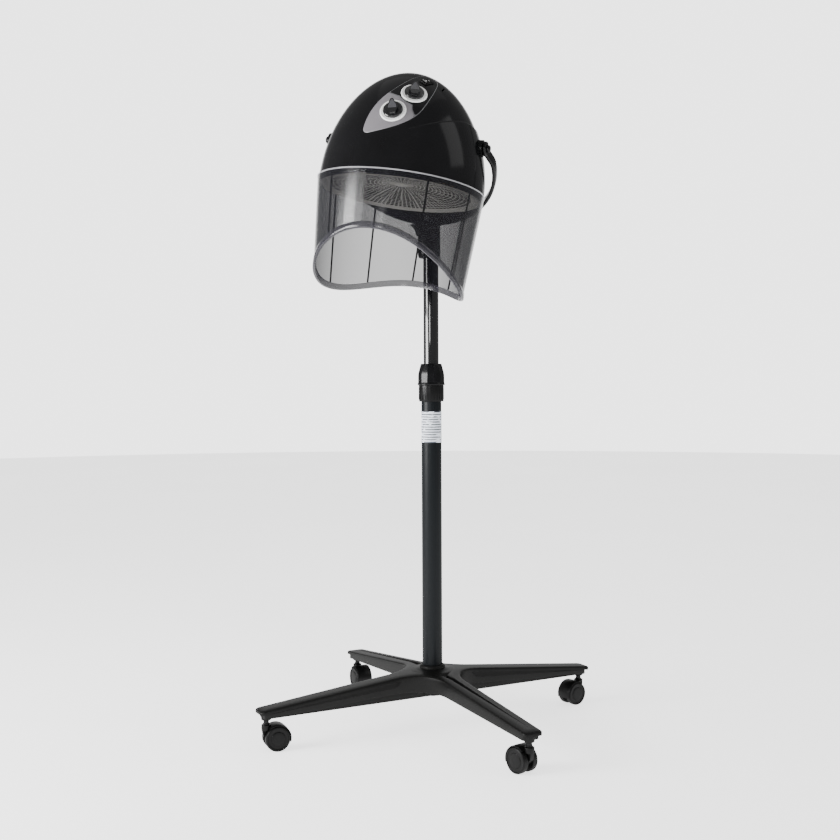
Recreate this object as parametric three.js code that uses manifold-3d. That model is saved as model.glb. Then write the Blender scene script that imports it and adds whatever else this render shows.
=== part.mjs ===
// A hooded hair dryer for a salon, on a four-legged rolling stand.
// Millimetres, +Z up, the hood faces -Y. The origin is the middle of the bounding box's floor face.
import * as THREE from "three";
import { ParametricGeometry } from "three/addons/geometries/ParametricGeometry.js";
import { mergeVertices } from "three/addons/utils/BufferGeometryUtils.js";
import Module from "manifold-3d";

const wasm = await Module();
wasm.setup();

// ---------------------------------------------------------------- driving dimensions
const GAP = 0.3; // between neighbours that touch or run on each other
// The column axis stands this far behind the origin, because the hood overhangs the front.
const COLUMN_Y = 49.08;

const base = {
  tipReach: 392,
  casterReach: 375,
  halfWidth: 23,
  webRadius: 75,
  cornerRadius: 9,
  hubTop: 121,
  tipTop: 83,
  plateThickness: 7,
  hubBottom: 84,
  tipBottom: 66,
  skirtInset: 3,
  skirtEndInset: 8,
  taper: 0.1,
  coreRadius: 34,
  coreBottom: 70,
  boreFloor: 78,
  bossBottom: 62,
  socketTop: 81,
};
const caster = {
  wheelRadius: 25,
  wheelThickness: 12.5,
  wheelInner: 6.2,
  trail: 20,
  stemRadius: 5.5,
  neckRadius: 6,
  housingRadius: 27.6,
  yaw: [235, 313, 38, 147], // where each one trails, in degrees from +X, leg by leg
};
const column = { radius: 21, wall: 1.5, top: 702, bottom: 78.5 };
const mast = { radius: 16, wall: 1.5, bottom: 420, top: 1010 };
const collar = { bottom: 686, split: 720, top: 765, sleeveRadius: 26.4, nutRadius: 28 };
const label = { bottom: 600, top: 665, facing: -73, spread: 100 };
const neck = { bottom: 985, top: 1082, radius: 23.5, offset: -3.5 };

// The yoke is a flat bar bent into a horseshoe, and it slopes down from the two pivots to the neck.
const yoke = {
  seatHeight: 1030.4,
  cant: 6.24, // degrees that the yoke leans to one side on the neck
  pivotForward: 215,
  pivotAbove: 154.1,
  backForward: 33,
  backAbove: 30,
  pivotHalf: 155.9,
  bulge: 166,
  bulgeAt: 42,
  thickness: 8,
  eyeThickness: 7,
  width: 21,
  backWidth: 25,
  backRise: 10, // how much higher the bar's upper edge stands at the neck
  eyeRadius: 14,
};

// The hood's own frame has its origin midway between the pivots and +Z along the dome's axis.
const hood = {
  tilt: 5.76, // degrees that the dome leans back in the yoke at rest
  rimBelow: 84,
  radius: 157,
  height: 218,
  exponent: 1.95,
  wall: 3,
  spigot: 10,
  spigotRadius: 155.9,
};
const visor = {
  radius: 160.5,
  wall: 3,
  taper: 0.085,
  bead: 1.4,
  frontDepth: 110,
  sideDepth: 200,
  backDepth: 168,
  sideAt: 107,
  lip: 14,
  lipProud: 1.6,
};
const panel = { azimuth: 11.5, height: 131, slant: 33.2, proud: 0.8, depth: 3.6 };
const dials = {
  plateRadius: 24.3,
  plateInner: 7,
  plateBack: -2.2,
  plateFront: 1,
  knobRadius: 18.5,
  knobHeight: 15,
  places: {
    timer: { azimuth: 4.8, height: 110, turn: 104 },
    heat: { azimuth: 19.6, height: 151.7, turn: 90 },
  },
};
const rocker = { azimuth: 34, height: 184, slant: 38, length: 23, width: 17, throwAngle: 8 };

const DOME_ROUND = 40; // segments round the dome and the visor
const ROUND = 28; // segments of the middling round pieces
const SMALL_ROUND = 14; // segments of the small ones

// ---------------------------------------------------------------- materials
function plastic(color, roughness) {
  return new THREE.MeshStandardMaterial({ color, roughness, metalness: 0 });
}
function metal(color, roughness) {
  return new THREE.MeshStandardMaterial({ color, roughness, metalness: 1 });
}
const glossBlack = plastic(0x121212, 0.12);
const mattBlack = plastic(0x232322, 0.55);
const wheelBlack = plastic(0x1c1c1c, 0.45);
const softBlack = plastic(0x161616, 0.3);
const paintedTube = new THREE.MeshStandardMaterial({ color: 0x202528, roughness: 0.35, metalness: 0.3 });
const glossTube = new THREE.MeshStandardMaterial({ color: 0x0b0b0c, roughness: 0.08, metalness: 0.3 });
const silverGrey = plastic(0x969196, 0.4);
const dialWhite = plastic(0xf0f0ee, 0.35);
const labelWhite = plastic(0xe6eaf0, 0.6);
const grilleGrey = plastic(0x6e6c64, 0.5);
const steel = metal(0xa8a8a8, 0.35);
const mica = plastic(0xb49a6a, 0.7);
const smoke = new THREE.MeshStandardMaterial({
  color: 0x6b6b70,
  roughness: 0.08,
  metalness: 0,
  transparent: true,
  opacity: 0.45,
});

// ---------------------------------------------------------------- solid helpers
function positionsOnly(geometry) {
  const flat = geometry.index ? geometry.toNonIndexed() : geometry.clone();
  for (const name of Object.keys(flat.attributes)) {
    if (name !== "position") flat.deleteAttribute(name);
  }
  return mergeVertices(flat, 1e-4);
}

function signedVolume(geometry) {
  const p = geometry.attributes.position;
  const index = geometry.index.array;
  const a = new THREE.Vector3();
  const b = new THREE.Vector3();
  const c = new THREE.Vector3();
  let sum = 0;
  for (let i = 0; i < index.length; i += 3) {
    a.fromBufferAttribute(p, index[i]);
    b.fromBufferAttribute(p, index[i + 1]);
    c.fromBufferAttribute(p, index[i + 2]);
    sum += a.dot(b.cross(c));
  }
  return sum;
}

// Merges a closed geometry's vertices and turns its faces outwards.
function closed(geometry) {
  const merged = positionsOnly(geometry);
  if (signedVolume(merged) < 0) {
    const index = merged.index.array;
    for (let i = 0; i < index.length; i += 3) {
      [index[i + 1], index[i + 2]] = [index[i + 2], index[i + 1]];
    }
  }
  return merged;
}

function toSolid(geometry) {
  const merged = closed(geometry);
  return new wasm.Manifold(
    new wasm.Mesh({
      numProp: 3,
      vertProperties: merged.attributes.position.array,
      triVerts: new Uint32Array(merged.index.array),
    }),
  );
}

function toGeometry(solid) {
  const mesh = solid.getMesh();
  const geometry = new THREE.BufferGeometry();
  geometry.setAttribute("position", new THREE.BufferAttribute(mesh.vertProperties, 3));
  geometry.setIndex(new THREE.BufferAttribute(mesh.triVerts, 1));
  return geometry;
}

function join(...geometries) {
  return toGeometry(geometries.map(toSolid).reduce((sum, next) => sum.add(next)));
}

function cut(geometry, ...cutters) {
  return toGeometry(cutters.map(toSolid).reduce((rest, next) => rest.subtract(next), toSolid(geometry)));
}

function common(geometry, other) {
  return toGeometry(toSolid(geometry).intersect(toSolid(other)));
}

// A round body about +Z from [radius, z] points, which start and end on the axis or close on themselves.
function lathe(profile, segments = ROUND) {
  const points = profile.map(([r, z]) => new THREE.Vector2(r, z));
  return closed(new THREE.LatheGeometry(points, segments).rotateX(Math.PI / 2));
}

function rod(radius, z0, z1, segments = SMALL_ROUND) {
  return lathe([[0, z0], [radius, z0], [radius, z1], [0, z1]], segments);
}

function tube(outer, inner, z0, z1, segments = ROUND) {
  return lathe([[inner, z0], [outer, z0], [outer, z1], [inner, z1], [inner, z0]], segments);
}

function block(x0, x1, y0, y1, z0, z1) {
  const box = new THREE.BoxGeometry(x1 - x0, y1 - y0, z1 - z0);
  return closed(box.translate((x0 + x1) / 2, (y0 + y1) / 2, (z0 + z1) / 2));
}

function extruded(shape, z0, z1, curveSegments = 4) {
  const geometry = new THREE.ExtrudeGeometry(shape, { depth: z1 - z0, bevelEnabled: false, curveSegments });
  return closed(geometry.translate(0, 0, z0));
}

// Turns a piece made along +Z so that it lies along +X.
function alongX(geometry) {
  return geometry.clone().rotateY(Math.PI / 2);
}

// A closed body through rings of points, each ring having the same number of points.
function loft(rings) {
  const count = rings[0].length;
  const positions = rings.flat().flatMap((p) => [p.x, p.y, p.z]);
  const faces = [];
  for (let i = 0; i + 1 < rings.length; i++) {
    for (let j = 0; j < count; j++) {
      const a = i * count + j;
      const b = i * count + ((j + 1) % count);
      faces.push(a, b, a + count, b, b + count, a + count);
    }
  }
  const last = (rings.length - 1) * count;
  for (let j = 1; j + 1 < count; j++) {
    faces.push(0, j + 1, j, last, last + j, last + j + 1);
  }
  const geometry = new THREE.BufferGeometry();
  geometry.setAttribute("position", new THREE.Float32BufferAttribute(positions, 3));
  geometry.setIndex(faces);
  return closed(geometry);
}

const radians = THREE.MathUtils.degToRad;

// ---------------------------------------------------------------- the group and its nested frames
const group = new THREE.Group();
const stand = new THREE.Group(); // origin on the floor under the column axis
stand.position.y = COLUMN_Y;
group.add(stand);

const yokeFrame = new THREE.Group();
yokeFrame.position.z = yoke.seatHeight;
yokeFrame.rotation.y = radians(yoke.cant);
stand.add(yokeFrame);

const hoodFrame = new THREE.Group();
hoodFrame.position.set(0, -yoke.pivotForward, yoke.pivotAbove);
hoodFrame.rotation.x = radians(-hood.tilt);
yokeFrame.add(hoodFrame);

function place(parent, name, geometry, material) {
  const flat = geometry.index ? geometry.toNonIndexed() : geometry;
  flat.computeVertexNormals();
  const mesh = new THREE.Mesh(flat, material);
  mesh.name = name;
  parent.add(mesh);
  return mesh;
}

// ---------------------------------------------------------------- base
const LEG_ANGLES = [45, 135, 225, 315];

// The star's outline: four straight legs, round corners at their tips and wide round webs between them.
function starShape(halfWidth, tip, webRadius, cornerRadius) {
  const shape = new THREE.Shape();
  const webCentre = (halfWidth + webRadius) * Math.SQRT2;
  for (const angle of LEG_ANGLES) {
    const leg = radians(angle);
    const web = leg - Math.PI / 4;
    shape.absarc(
      webCentre * Math.cos(web),
      webCentre * Math.sin(web),
      webRadius,
      web + (5 * Math.PI) / 4,
      web + (3 * Math.PI) / 4,
      true,
    );
    for (const side of [-1, 1]) {
      const along = tip - cornerRadius;
      const across = side * (halfWidth - cornerRadius);
      shape.absarc(
        along * Math.cos(leg) - across * Math.sin(leg),
        along * Math.sin(leg) + across * Math.cos(leg),
        cornerRadius,
        leg + (side < 0 ? -Math.PI / 2 : 0),
        leg + (side < 0 ? 0 : Math.PI / 2),
        false,
      );
    }
  }
  shape.closePath();
  return shape;
}

function legTop(r) {
  const reach = Math.max(r, base.coreRadius);
  return THREE.MathUtils.mapLinear(reach, base.coreRadius, base.tipReach, base.hubTop, base.tipTop);
}

function legBottom(r) {
  const reach = Math.max(r, base.coreRadius);
  return THREE.MathUtils.mapLinear(reach, base.coreRadius, base.tipReach, base.hubBottom, base.tipBottom);
}

// Slopes a flat star, made between z = 0 and z = 1, so that each point lies between two heights at its radius.
function sloped(geometry, lower, upper) {
  const p = geometry.attributes.position;
  for (let i = 0; i < p.count; i++) {
    const x = p.getX(i);
    const y = p.getY(i);
    const r = Math.hypot(x, y);
    const leg = Math.round((Math.atan2(y, x) - Math.PI / 4) / (Math.PI / 2)) * (Math.PI / 2) + Math.PI / 4;
    const along = x * Math.cos(leg) + y * Math.sin(leg);
    const across = -x * Math.sin(leg) + y * Math.cos(leg);
    const outer = Math.max(0, (along - base.webRadius) / (base.tipReach - base.webRadius));
    const narrowed = across * (1 - base.taper * outer);
    const z = THREE.MathUtils.lerp(lower(r), upper(r), p.getZ(i));
    const turnedX = along * Math.cos(leg) - narrowed * Math.sin(leg);
    const turnedY = along * Math.sin(leg) + narrowed * Math.cos(leg);
    p.setXYZ(i, turnedX, turnedY, z);
  }
  return geometry;
}

function baseFrame() {
  const plate = starShape(base.halfWidth, base.tipReach, base.webRadius, base.cornerRadius);
  const skirt = starShape(
    base.halfWidth - base.skirtInset,
    base.tipReach - base.skirtEndInset,
    base.webRadius + base.skirtInset,
    base.cornerRadius,
  );
  const top = sloped(extruded(plate, 0, 1), (r) => legTop(r) - base.plateThickness, legTop);
  const wall = sloped(extruded(skirt, 0, 1), legBottom, (r) => legTop(r) - 2);
  const core = rod(base.coreRadius, base.coreBottom, base.hubTop + 0.5, ROUND);
  const bosses = LEG_ANGLES.map((angle) => {
    const boss = lathe([[0, base.bossBottom], [9.5, base.bossBottom], [11.5, 76], [0, 76]], 12);
    return atLeg(boss, angle);
  });
  const socket = () => rod(caster.stemRadius + GAP, base.bossBottom - 1, base.socketTop, 12);
  const sockets = LEG_ANGLES.map((angle) => atLeg(socket(), angle));
  const bore = rod(column.radius + GAP, base.boreFloor, base.hubTop + 2, ROUND);
  const boltHole = rod(4 + GAP, base.coreBottom - 1, base.boreFloor + 1, 12);
  return cut(join(top, wall, core, ...bosses), bore, boltHole, ...sockets);
}

function atLeg(geometry, angle) {
  const leg = radians(angle);
  return geometry.clone().translate(base.casterReach * Math.cos(leg), base.casterReach * Math.sin(leg), 0);
}

function footRing() {
  const inner = column.radius + GAP;
  const bottom = base.hubTop + 0.5 + GAP;
  return lathe([
    [inner, bottom],
    [27, bottom],
    [26.6, bottom + 5],
    [23.5, bottom + 8.5],
    [inner, bottom + 9.5],
    [inner, bottom],
  ]);
}

place(stand, "base_frame", baseFrame(), mattBlack);
place(stand, "column_foot_ring", footRing(), mattBlack);
const washerTop = base.coreBottom - GAP;
place(stand, "foot_washer", tube(12, 4 + GAP, washerTop - 1.5, washerTop, SMALL_ROUND), steel);
place(stand, "foot_bolt", footBolt(), steel);

function footBolt() {
  const headTop = base.coreBottom - 2 * GAP - 1.5;
  return join(rod(7, headTop - 5.5, headTop, 6), rod(4, headTop - 1, 94, 12));
}

// ---------------------------------------------------------------- column, collar and mast
function lowerColumn() {
  const inner = column.radius - column.wall;
  const plugTop = column.bottom + 6;
  const boltHole = 4 + GAP;
  return lathe([
    [boltHole, column.bottom],
    [column.radius, column.bottom],
    [column.radius, column.top],
    [inner, column.top],
    [inner, plugTop],
    [boltHole, plugTop],
    [boltHole, column.bottom],
  ]);
}

// A thin sticker wrapped round the front of the column.
function ratingLabel() {
  const from = radians(label.facing - label.spread);
  const to = radians(label.facing + label.spread);
  const shape = new THREE.Shape();
  shape.absarc(0, 0, column.radius + GAP + 0.4, from, to, false);
  shape.absarc(0, 0, column.radius + GAP, to, from, true);
  shape.closePath();
  return extruded(shape, label.bottom, label.top, 10);
}

function collarSleeve() {
  const r = collar.sleeveRadius;
  const shoulder = column.top + GAP;
  return lathe([
    [column.radius + GAP, collar.bottom],
    [r - 0.6, collar.bottom],
    [r, collar.split],
    [20.6, collar.split],
    [20.6, collar.split + 17],
    [19.3, collar.split + 17],
    [19.3, shoulder],
    [column.radius + GAP, shoulder],
    [column.radius + GAP, collar.bottom],
  ]);
}

// The bush is split down one side, so that the nut can squeeze it on the mast.
function colletBush() {
  const inner = mast.radius + GAP;
  const top = collar.split + 34;
  const ring = lathe([
    [inner, column.top + 3],
    [19, column.top + 3],
    [19, collar.split + 17 + GAP],
    [20.3, collar.split + 17 + GAP],
    [20.3, collar.split + 24],
    [17.6, top],
    [inner, top],
    [inner, column.top + 3],
  ], 24);
  return cut(ring, block(-1, 1, 10, 25, column.top, top + 1));
}

// Twelve flats on the outside, a cone above them and a small flare at the bottom.
function colletNut() {
  const bottom = collar.split + GAP;
  const outside = lathe([
    [0, bottom],
    [collar.nutRadius + 0.6, bottom],
    [collar.nutRadius + 0.2, bottom + 4],
    [collar.nutRadius, collar.top - 21],
    [22, collar.top],
    [0, collar.top],
  ], 12);
  const cavity = lathe([
    [0, bottom - 1],
    [21.2, bottom - 1],
    [21.2, collar.top - 19],
    [mast.radius + 0.7, collar.top - 8],
    [mast.radius + 0.7, collar.top + 1],
    [0, collar.top + 1],
  ], 24);
  return cut(outside, cavity);
}

place(stand, "lower_column", lowerColumn(), paintedTube);
place(stand, "rating_label", ratingLabel(), labelWhite);
place(stand, "collar_sleeve", collarSleeve(), softBlack);
place(stand, "collet_bush", colletBush(), dialWhite);
place(stand, "collet_nut", colletNut(), softBlack);
place(stand, "upper_tube", tube(mast.radius, mast.radius - mast.wall, mast.bottom, mast.top, 24), glossTube);
place(stand, "guide_bush", tube(19.2, mast.radius + GAP, mast.bottom, mast.bottom + 30, 24), dialWhite);

// ---------------------------------------------------------------- casters
// In a caster's frame the stem is the Z axis, the caster trails towards +X and the axle lies along Y.
const axleHeight = caster.wheelRadius;

// Turns a piece made along +Z so that it lies along the axle.
function onAxle(geometry) {
  return geometry.clone().rotateX(Math.PI / 2).translate(caster.trail, 0, axleHeight);
}

function casterHousing() {
  const r = caster.housingRadius;
  const web = new THREE.Shape();
  web.moveTo(-6.5, axleHeight + 4);
  web.lineTo(-9, axleHeight + 20);
  web.lineTo(-7.5, 51.5);
  web.lineTo(8, 52);
  web.absarc(caster.trail, axleHeight, r, radians(100), radians(-20), true);
  web.absarc(caster.trail, axleHeight, 17, radians(-20), radians(-150), true);
  web.closePath();
  const plate = extruded(web, -4.6, 4.6, 5).rotateX(Math.PI / 2);
  const fender = new THREE.Shape();
  fender.absarc(caster.trail, axleHeight, r, radians(140), radians(-12), true);
  fender.absarc(caster.trail, axleHeight, r - 1.7, radians(-12), radians(140), false);
  fender.closePath();
  const cover = extruded(fender, -15, 15, 7).rotateX(Math.PI / 2);
  const wheelRoom = [-14, 14].map((middle) => onAxle(rod(r - 1.7, middle - 9, middle + 9, 20)));
  const hub = cut(lathe([[0, 40], [10, 40], [9.5, 53], [0, 53]], 12), ...wheelRoom);
  const stemBore = rod(caster.stemRadius + GAP, 41.5, 54, 12);
  return cut(join(plate, cover, hub), stemBore, onAxle(rod(2.8, -20, 20, 8)));
}

function casterStem() {
  return lathe([
    [0, 42],
    [caster.stemRadius, 42],
    [caster.stemRadius, 53.5],
    [caster.neckRadius, 54],
    [caster.neckRadius, base.bossBottom - GAP],
    [caster.stemRadius, base.bossBottom - GAP],
    [caster.stemRadius, 80],
    [0, 80],
  ], 12);
}

function casterWheel(side) {
  const r = caster.wheelRadius;
  const inner = caster.wheelInner;
  const outer = inner + caster.wheelThickness;
  const bore = 2.8;
  const wheel = lathe([
    [bore, inner],
    [r, inner],
    [r, outer - 3],
    [r - 3, outer],
    [bore, outer],
    [bore, inner],
  ], 20);
  return onAxle(side > 0 ? wheel : wheel.scale(1, 1, -1));
}

LEG_ANGLES.forEach((angle, i) => {
  const frame = new THREE.Group();
  const leg = radians(angle);
  frame.position.set(base.casterReach * Math.cos(leg), base.casterReach * Math.sin(leg), 0);
  frame.rotation.z = radians(caster.yaw[i]);
  stand.add(frame);
  const name = `caster_${i + 1}`;
  place(frame, `${name}_stem`, casterStem(), steel);
  place(frame, `${name}_housing`, casterHousing(), mattBlack);
  place(frame, `${name}_axle`, onAxle(rod(2.5, -17.5, 17.5, 8)), steel);
  place(frame, `${name}_wheel_left`, closed(casterWheel(1)), wheelBlack);
  place(frame, `${name}_wheel_right`, closed(casterWheel(-1)), wheelBlack);
});

// ---------------------------------------------------------------- neck and yoke
const slope = new THREE.Vector3(
  0,
  yoke.pivotForward - yoke.backForward,
  yoke.backAbove - yoke.pivotAbove,
);
const slopeLength = slope.length();
const slopeDirection = slope.clone().normalize();
const sideways = new THREE.Vector3(1, 0, 0);
const barWidthDirection = new THREE.Vector3().crossVectors(sideways, slopeDirection).normalize();
const pivotMiddle = new THREE.Vector3(0, -yoke.pivotForward, yoke.pivotAbove);

// The bar's centre line in the sloping plane: out to the bulge, then half an ellipse round the back.
function yokePoint(t) {
  const straight = 0.22;
  if (t < straight) {
    const k = t / straight;
    const ease = THREE.MathUtils.smoothstep(k, 0, 1);
    return [THREE.MathUtils.lerp(yoke.pivotHalf, yoke.bulge, ease), yoke.bulgeAt * k];
  }
  const turn = ((t - straight) / (1 - straight)) * (Math.PI / 2);
  return [yoke.bulge * Math.cos(turn), yoke.bulgeAt + (slopeLength - yoke.bulgeAt) * Math.sin(turn)];
}

// The bar from one pivot round to the other, its section grown by `extra` all round.
function yokeBar(extra) {
  const steps = 9;
  const stations = [];
  for (let i = -steps; i <= steps; i++) {
    const [x, s] = yokePoint(1 - Math.abs(i) / steps);
    stations.push({ x: Math.sign(i) * x, s, t: 1 - Math.abs(i) / steps });
  }
  const rings = stations.map((here, i) => {
    const before = stations[Math.max(0, i - 1)];
    const after = stations[Math.min(stations.length - 1, i + 1)];
    const tangent = new THREE.Vector2(after.x - before.x, after.s - before.s).normalize();
    const across = new THREE.Vector3(-tangent.y, 0, 0).addScaledVector(slopeDirection, tangent.x);
    const centre = pivotMiddle.clone();
    centre.addScaledVector(sideways, here.x).addScaledVector(slopeDirection, here.s);
    const towardsBack = Math.max(0, here.t * 2 - 1);
    const halfWidth = THREE.MathUtils.lerp(yoke.width, yoke.backWidth, towardsBack) / 2 + extra;
    const rise = yoke.backRise * THREE.MathUtils.smoothstep(here.t, 0.5, 1);
    const halfThick = yoke.thickness / 2 + extra;
    const chamfer = 2;
    const corners = [
      [halfThick, halfWidth - chamfer],
      [halfThick - chamfer, halfWidth],
      [chamfer - halfThick, halfWidth],
      [-halfThick, halfWidth - chamfer],
      [-halfThick, chamfer - halfWidth],
      [chamfer - halfThick, -halfWidth],
      [halfThick - chamfer, -halfWidth],
      [halfThick, chamfer - halfWidth],
    ];
    return corners.map(([u, v]) =>
      centre
        .clone()
        .addScaledVector(across, u)
        .addScaledVector(barWidthDirection, v > 0 ? v + rise : v),
    );
  });
  return loft(rings);
}

// A rod along the line on which the neck screw holds the bar.
function onNeckScrew(radius, from, to, segments = 12) {
  const turned = rod(radius, from, to, segments);
  const quaternion = new THREE.Quaternion().setFromUnitVectors(new THREE.Vector3(0, 0, 1), slopeDirection);
  const middle = pivotMiddle.clone().addScaledVector(slopeDirection, slopeLength);
  return turned.applyQuaternion(quaternion).translate(middle.x, middle.y, middle.z);
}

function yokeBand() {
  const half = yoke.eyeThickness / 2;
  const eyes = [-1, 1].map((side) =>
    alongX(rod(yoke.eyeRadius, side * yoke.pivotHalf - half, side * yoke.pivotHalf + half, 20)).translate(
      0,
      -yoke.pivotForward,
      yoke.pivotAbove,
    ),
  );
  const boltHole = alongX(rod(4 + GAP, -170, 170, 16)).translate(0, -yoke.pivotForward, yoke.pivotAbove);
  const faces = [-1, 1].flatMap((side) =>
    [[-1, yoke.eyeRadius + 3], [1, 9]].map(([face, radius]) => {
      const x = side * (yoke.pivotHalf + face * (half + 3));
      return alongX(rod(radius, x - 3, x + 3, 16)).translate(0, -yoke.pivotForward, yoke.pivotAbove);
    }),
  );
  return cut(join(yokeBar(0), ...eyes), boltHole, ...faces, onNeckScrew(3 + GAP, -12, 12));
}

// Things in the yoke's frame, brought into the stand's frame.
function intoStand(geometry) {
  return geometry.clone().rotateY(radians(yoke.cant)).translate(0, 0, yoke.seatHeight);
}

function yokeNeck() {
  const r = neck.radius;
  const body = lathe([
    [0, neck.bottom],
    [r - 1.6, neck.bottom],
    [r, neck.bottom + 5],
    [r, neck.top - 14],
    [r - 2, neck.top - 6],
    [r - 8, neck.top - 1],
    [0, neck.top],
  ]).translate(neck.offset, 0, 0);
  const seat = intoStand(onNeckScrew(13, 0, 24, 20));
  const socket = rod(mast.radius + GAP, neck.bottom - 1, mast.top + GAP, 24);
  return cut(join(body, seat), socket, intoStand(yokeBar(GAP)), intoStand(onNeckScrew(3 + GAP, -12, 30)));
}

place(stand, "yoke_neck", yokeNeck(), softBlack);
place(yokeFrame, "yoke_band", yokeBand(), softBlack);
place(yokeFrame, "neck_screw", join(onNeckScrew(3, -5, 29), onNeckScrew(5.5, -8.2, -5)), steel);

// ---------------------------------------------------------------- dome
function domeRadius(height, grow = 0) {
  const share = Math.min(1, height / (hood.height + grow)) ** hood.exponent;
  return (hood.radius + grow) * (1 - share) ** (1 / hood.exponent);
}

function domeProfile(grow) {
  const steps = 9;
  const points = [];
  for (let i = 0; i <= steps; i++) {
    const turn = (i / steps) * (Math.PI / 2);
    const power = 2 / hood.exponent;
    points.push([
      (hood.radius + grow) * Math.max(0, Math.cos(turn)) ** power,
      (hood.height + grow) * Math.sin(turn) ** power - hood.rimBelow,
    ]);
  }
  points[steps][0] = 0;
  return points;
}

// The solid dome, its surface moved out by `grow`.
function domeSolid(grow) {
  return lathe([[0, -hood.rimBelow], ...domeProfile(grow)], DOME_ROUND);
}

// A frame on the dome's surface: Z along the outward normal and Y up the meridian, then turned by `turn`.
function onDome(azimuth, height, turn = 0) {
  const a = radians(azimuth);
  const r = domeRadius(height);
  const outwards = new THREE.Vector3(Math.sin(a), -Math.cos(a), 0);
  const steepR = (r / hood.radius) ** (hood.exponent - 1) / hood.radius;
  const steepZ = (height / hood.height) ** (hood.exponent - 1) / hood.height;
  const z = outwards.clone().multiplyScalar(steepR).add(new THREE.Vector3(0, 0, steepZ)).normalize();
  const x = new THREE.Vector3(Math.cos(a), Math.sin(a), 0);
  const y = new THREE.Vector3().crossVectors(z, x);
  const matrix = new THREE.Matrix4().makeBasis(x, y, z);
  matrix.setPosition(outwards.multiplyScalar(r).setZ(height - hood.rimBelow));
  return matrix.multiply(new THREE.Matrix4().makeRotationZ(radians(turn)));
}

function moved(geometry, matrix) {
  return geometry.clone().applyMatrix4(matrix);
}

const panelFrame = onDome(panel.azimuth, panel.height, 90 - panel.slant);
const timerFrame = onDome(dials.places.timer.azimuth, dials.places.timer.height);
const heatFrame = onDome(dials.places.heat.azimuth, dials.places.heat.height);
const rockerFrame = onDome(rocker.azimuth, rocker.height, rocker.slant);

// The control panel's leaf outline, long axis along X, in the panel's plane.
function leafShape(grow) {
  const shape = new THREE.Shape();
  const g = grow;
  shape.moveTo(-86 - g, 10);
  shape.quadraticCurveTo(-90 - g, 20, -82 - g, 25 + g);
  shape.bezierCurveTo(-45, 45 + g, -10, 41 + g, 20, 37.5 + g);
  shape.bezierCurveTo(50, 34.5 + g, 80, 40 + g, 98, 32 + g);
  shape.quadraticCurveTo(108 + g, 25, 100 + g, 6 - g);
  shape.bezierCurveTo(85, -12 - g, 40, -30 - g, 10, -37 - g);
  shape.bezierCurveTo(-25, -44 - g, -60, -25 - g, -86 - g, 10);
  return shape;
}

// The lower part of the leaf, up to an edge that runs round the heat dial.
function greyZone(shift) {
  const shape = new THREE.Shape();
  shape.moveTo(-110, -70);
  shape.lineTo(-14 + shift, -70);
  shape.lineTo(-12 + shift, -38);
  shape.quadraticCurveTo(-4 + shift, -24, 4 + shift, -17);
  shape.quadraticCurveTo(0 + shift, 0, 6 + shift, 16);
  shape.quadraticCurveTo(2 + shift, 24, 0 + shift, 45);
  shape.lineTo(0 + shift, 70);
  shape.lineTo(-110, 70);
  shape.closePath();
  return shape;
}

function leafPrism(grow) {
  return moved(extruded(leafShape(grow), -60, 30), panelFrame);
}

function greyPrism(shift) {
  return moved(extruded(greyZone(shift), -70, 40), panelFrame);
}

const switchBody = { length: 19.4, width: 13.4 };

function panelShell() {
  const shell = cut(domeSolid(panel.proud), domeSolid(-panel.depth));
  const dialCuts = [timerFrame, heatFrame].flatMap((frame) => [
    moved(rod(dials.plateRadius + GAP, dials.plateBack - GAP, 20, 32), frame),
    moved(rod(dials.plateInner + 0.5, -20, 20), frame),
  ]);
  const switchHole = moved(
    block(
      -switchBody.length / 2 - GAP,
      switchBody.length / 2 + GAP,
      -switchBody.width / 2 - GAP,
      switchBody.width / 2 + GAP,
      -20,
      20,
    ),
    rockerFrame,
  );
  return cut(common(shell, leafPrism(0)), ...dialCuts, switchHole);
}

const PIVOT_DISC = { radius: 16, inner: 141, outer: 152.1 };

function hoodShell() {
  const outer = [[hood.spigotRadius, -hood.rimBelow - hood.spigot], ...domeProfile(0)];
  const inner = [...domeProfile(-hood.wall)].reverse();
  const skin = lathe([
    ...outer,
    ...inner,
    [hood.spigotRadius - hood.wall, -hood.rimBelow - hood.spigot],
    [hood.spigotRadius, -hood.rimBelow - hood.spigot],
  ], DOME_ROUND);
  const bossRod = (side) => {
    const ends = [side * 130, side * 160];
    return alongX(rod(20, Math.min(...ends), Math.max(...ends), ROUND));
  };
  const bosses = [-1, 1].map((side) => common(bossRod(side), domeSolid(-1)));
  const recess = (side) => {
    const from = side * (PIVOT_DISC.inner - GAP);
    return alongX(rod(PIVOT_DISC.radius + GAP, Math.min(from, side * 175), Math.max(from, side * 175), 28));
  };
  const boltHole = alongX(rod(4 + GAP, -165, 165, 16));
  const vents = [];
  for (const row of [0, 1]) {
    for (const place of [-2, -1, 0, 1, 2]) {
      vents.push(moved(block(-6, 6, -2.5, 2.5, -8, 8), onDome(180 + place * 10, 116 + row * 14)));
    }
  }
  const slot = moved(block(-9, 9, -1.6, 1.6, -8, 8), onDome(56, 177, 48));
  const glandHole = moved(rod(8 + GAP, -12, 12), onDome(180, 28));
  return cut(
    join(skin, ...bosses),
    recess(-1),
    recess(1),
    boltHole,
    leafPrism(GAP),
    slot,
    glandHole,
    ...vents,
  );
}

place(hoodFrame, "hood_shell", hoodShell(), glossBlack);
place(hoodFrame, "panel_grey", common(panelShell(), greyPrism(0)), silverGrey);
place(hoodFrame, "panel_black", cut(panelShell(), greyPrism(0.4)), glossBlack);

// ---------------------------------------------------------------- tilt pivots
// A spacing disc between the hood and the yoke's eye, a bolt through both and a cap outside.
function pivotDisc() {
  return alongX(tube(PIVOT_DISC.radius, 4 + GAP, PIVOT_DISC.inner, PIVOT_DISC.outer, 24));
}

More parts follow.
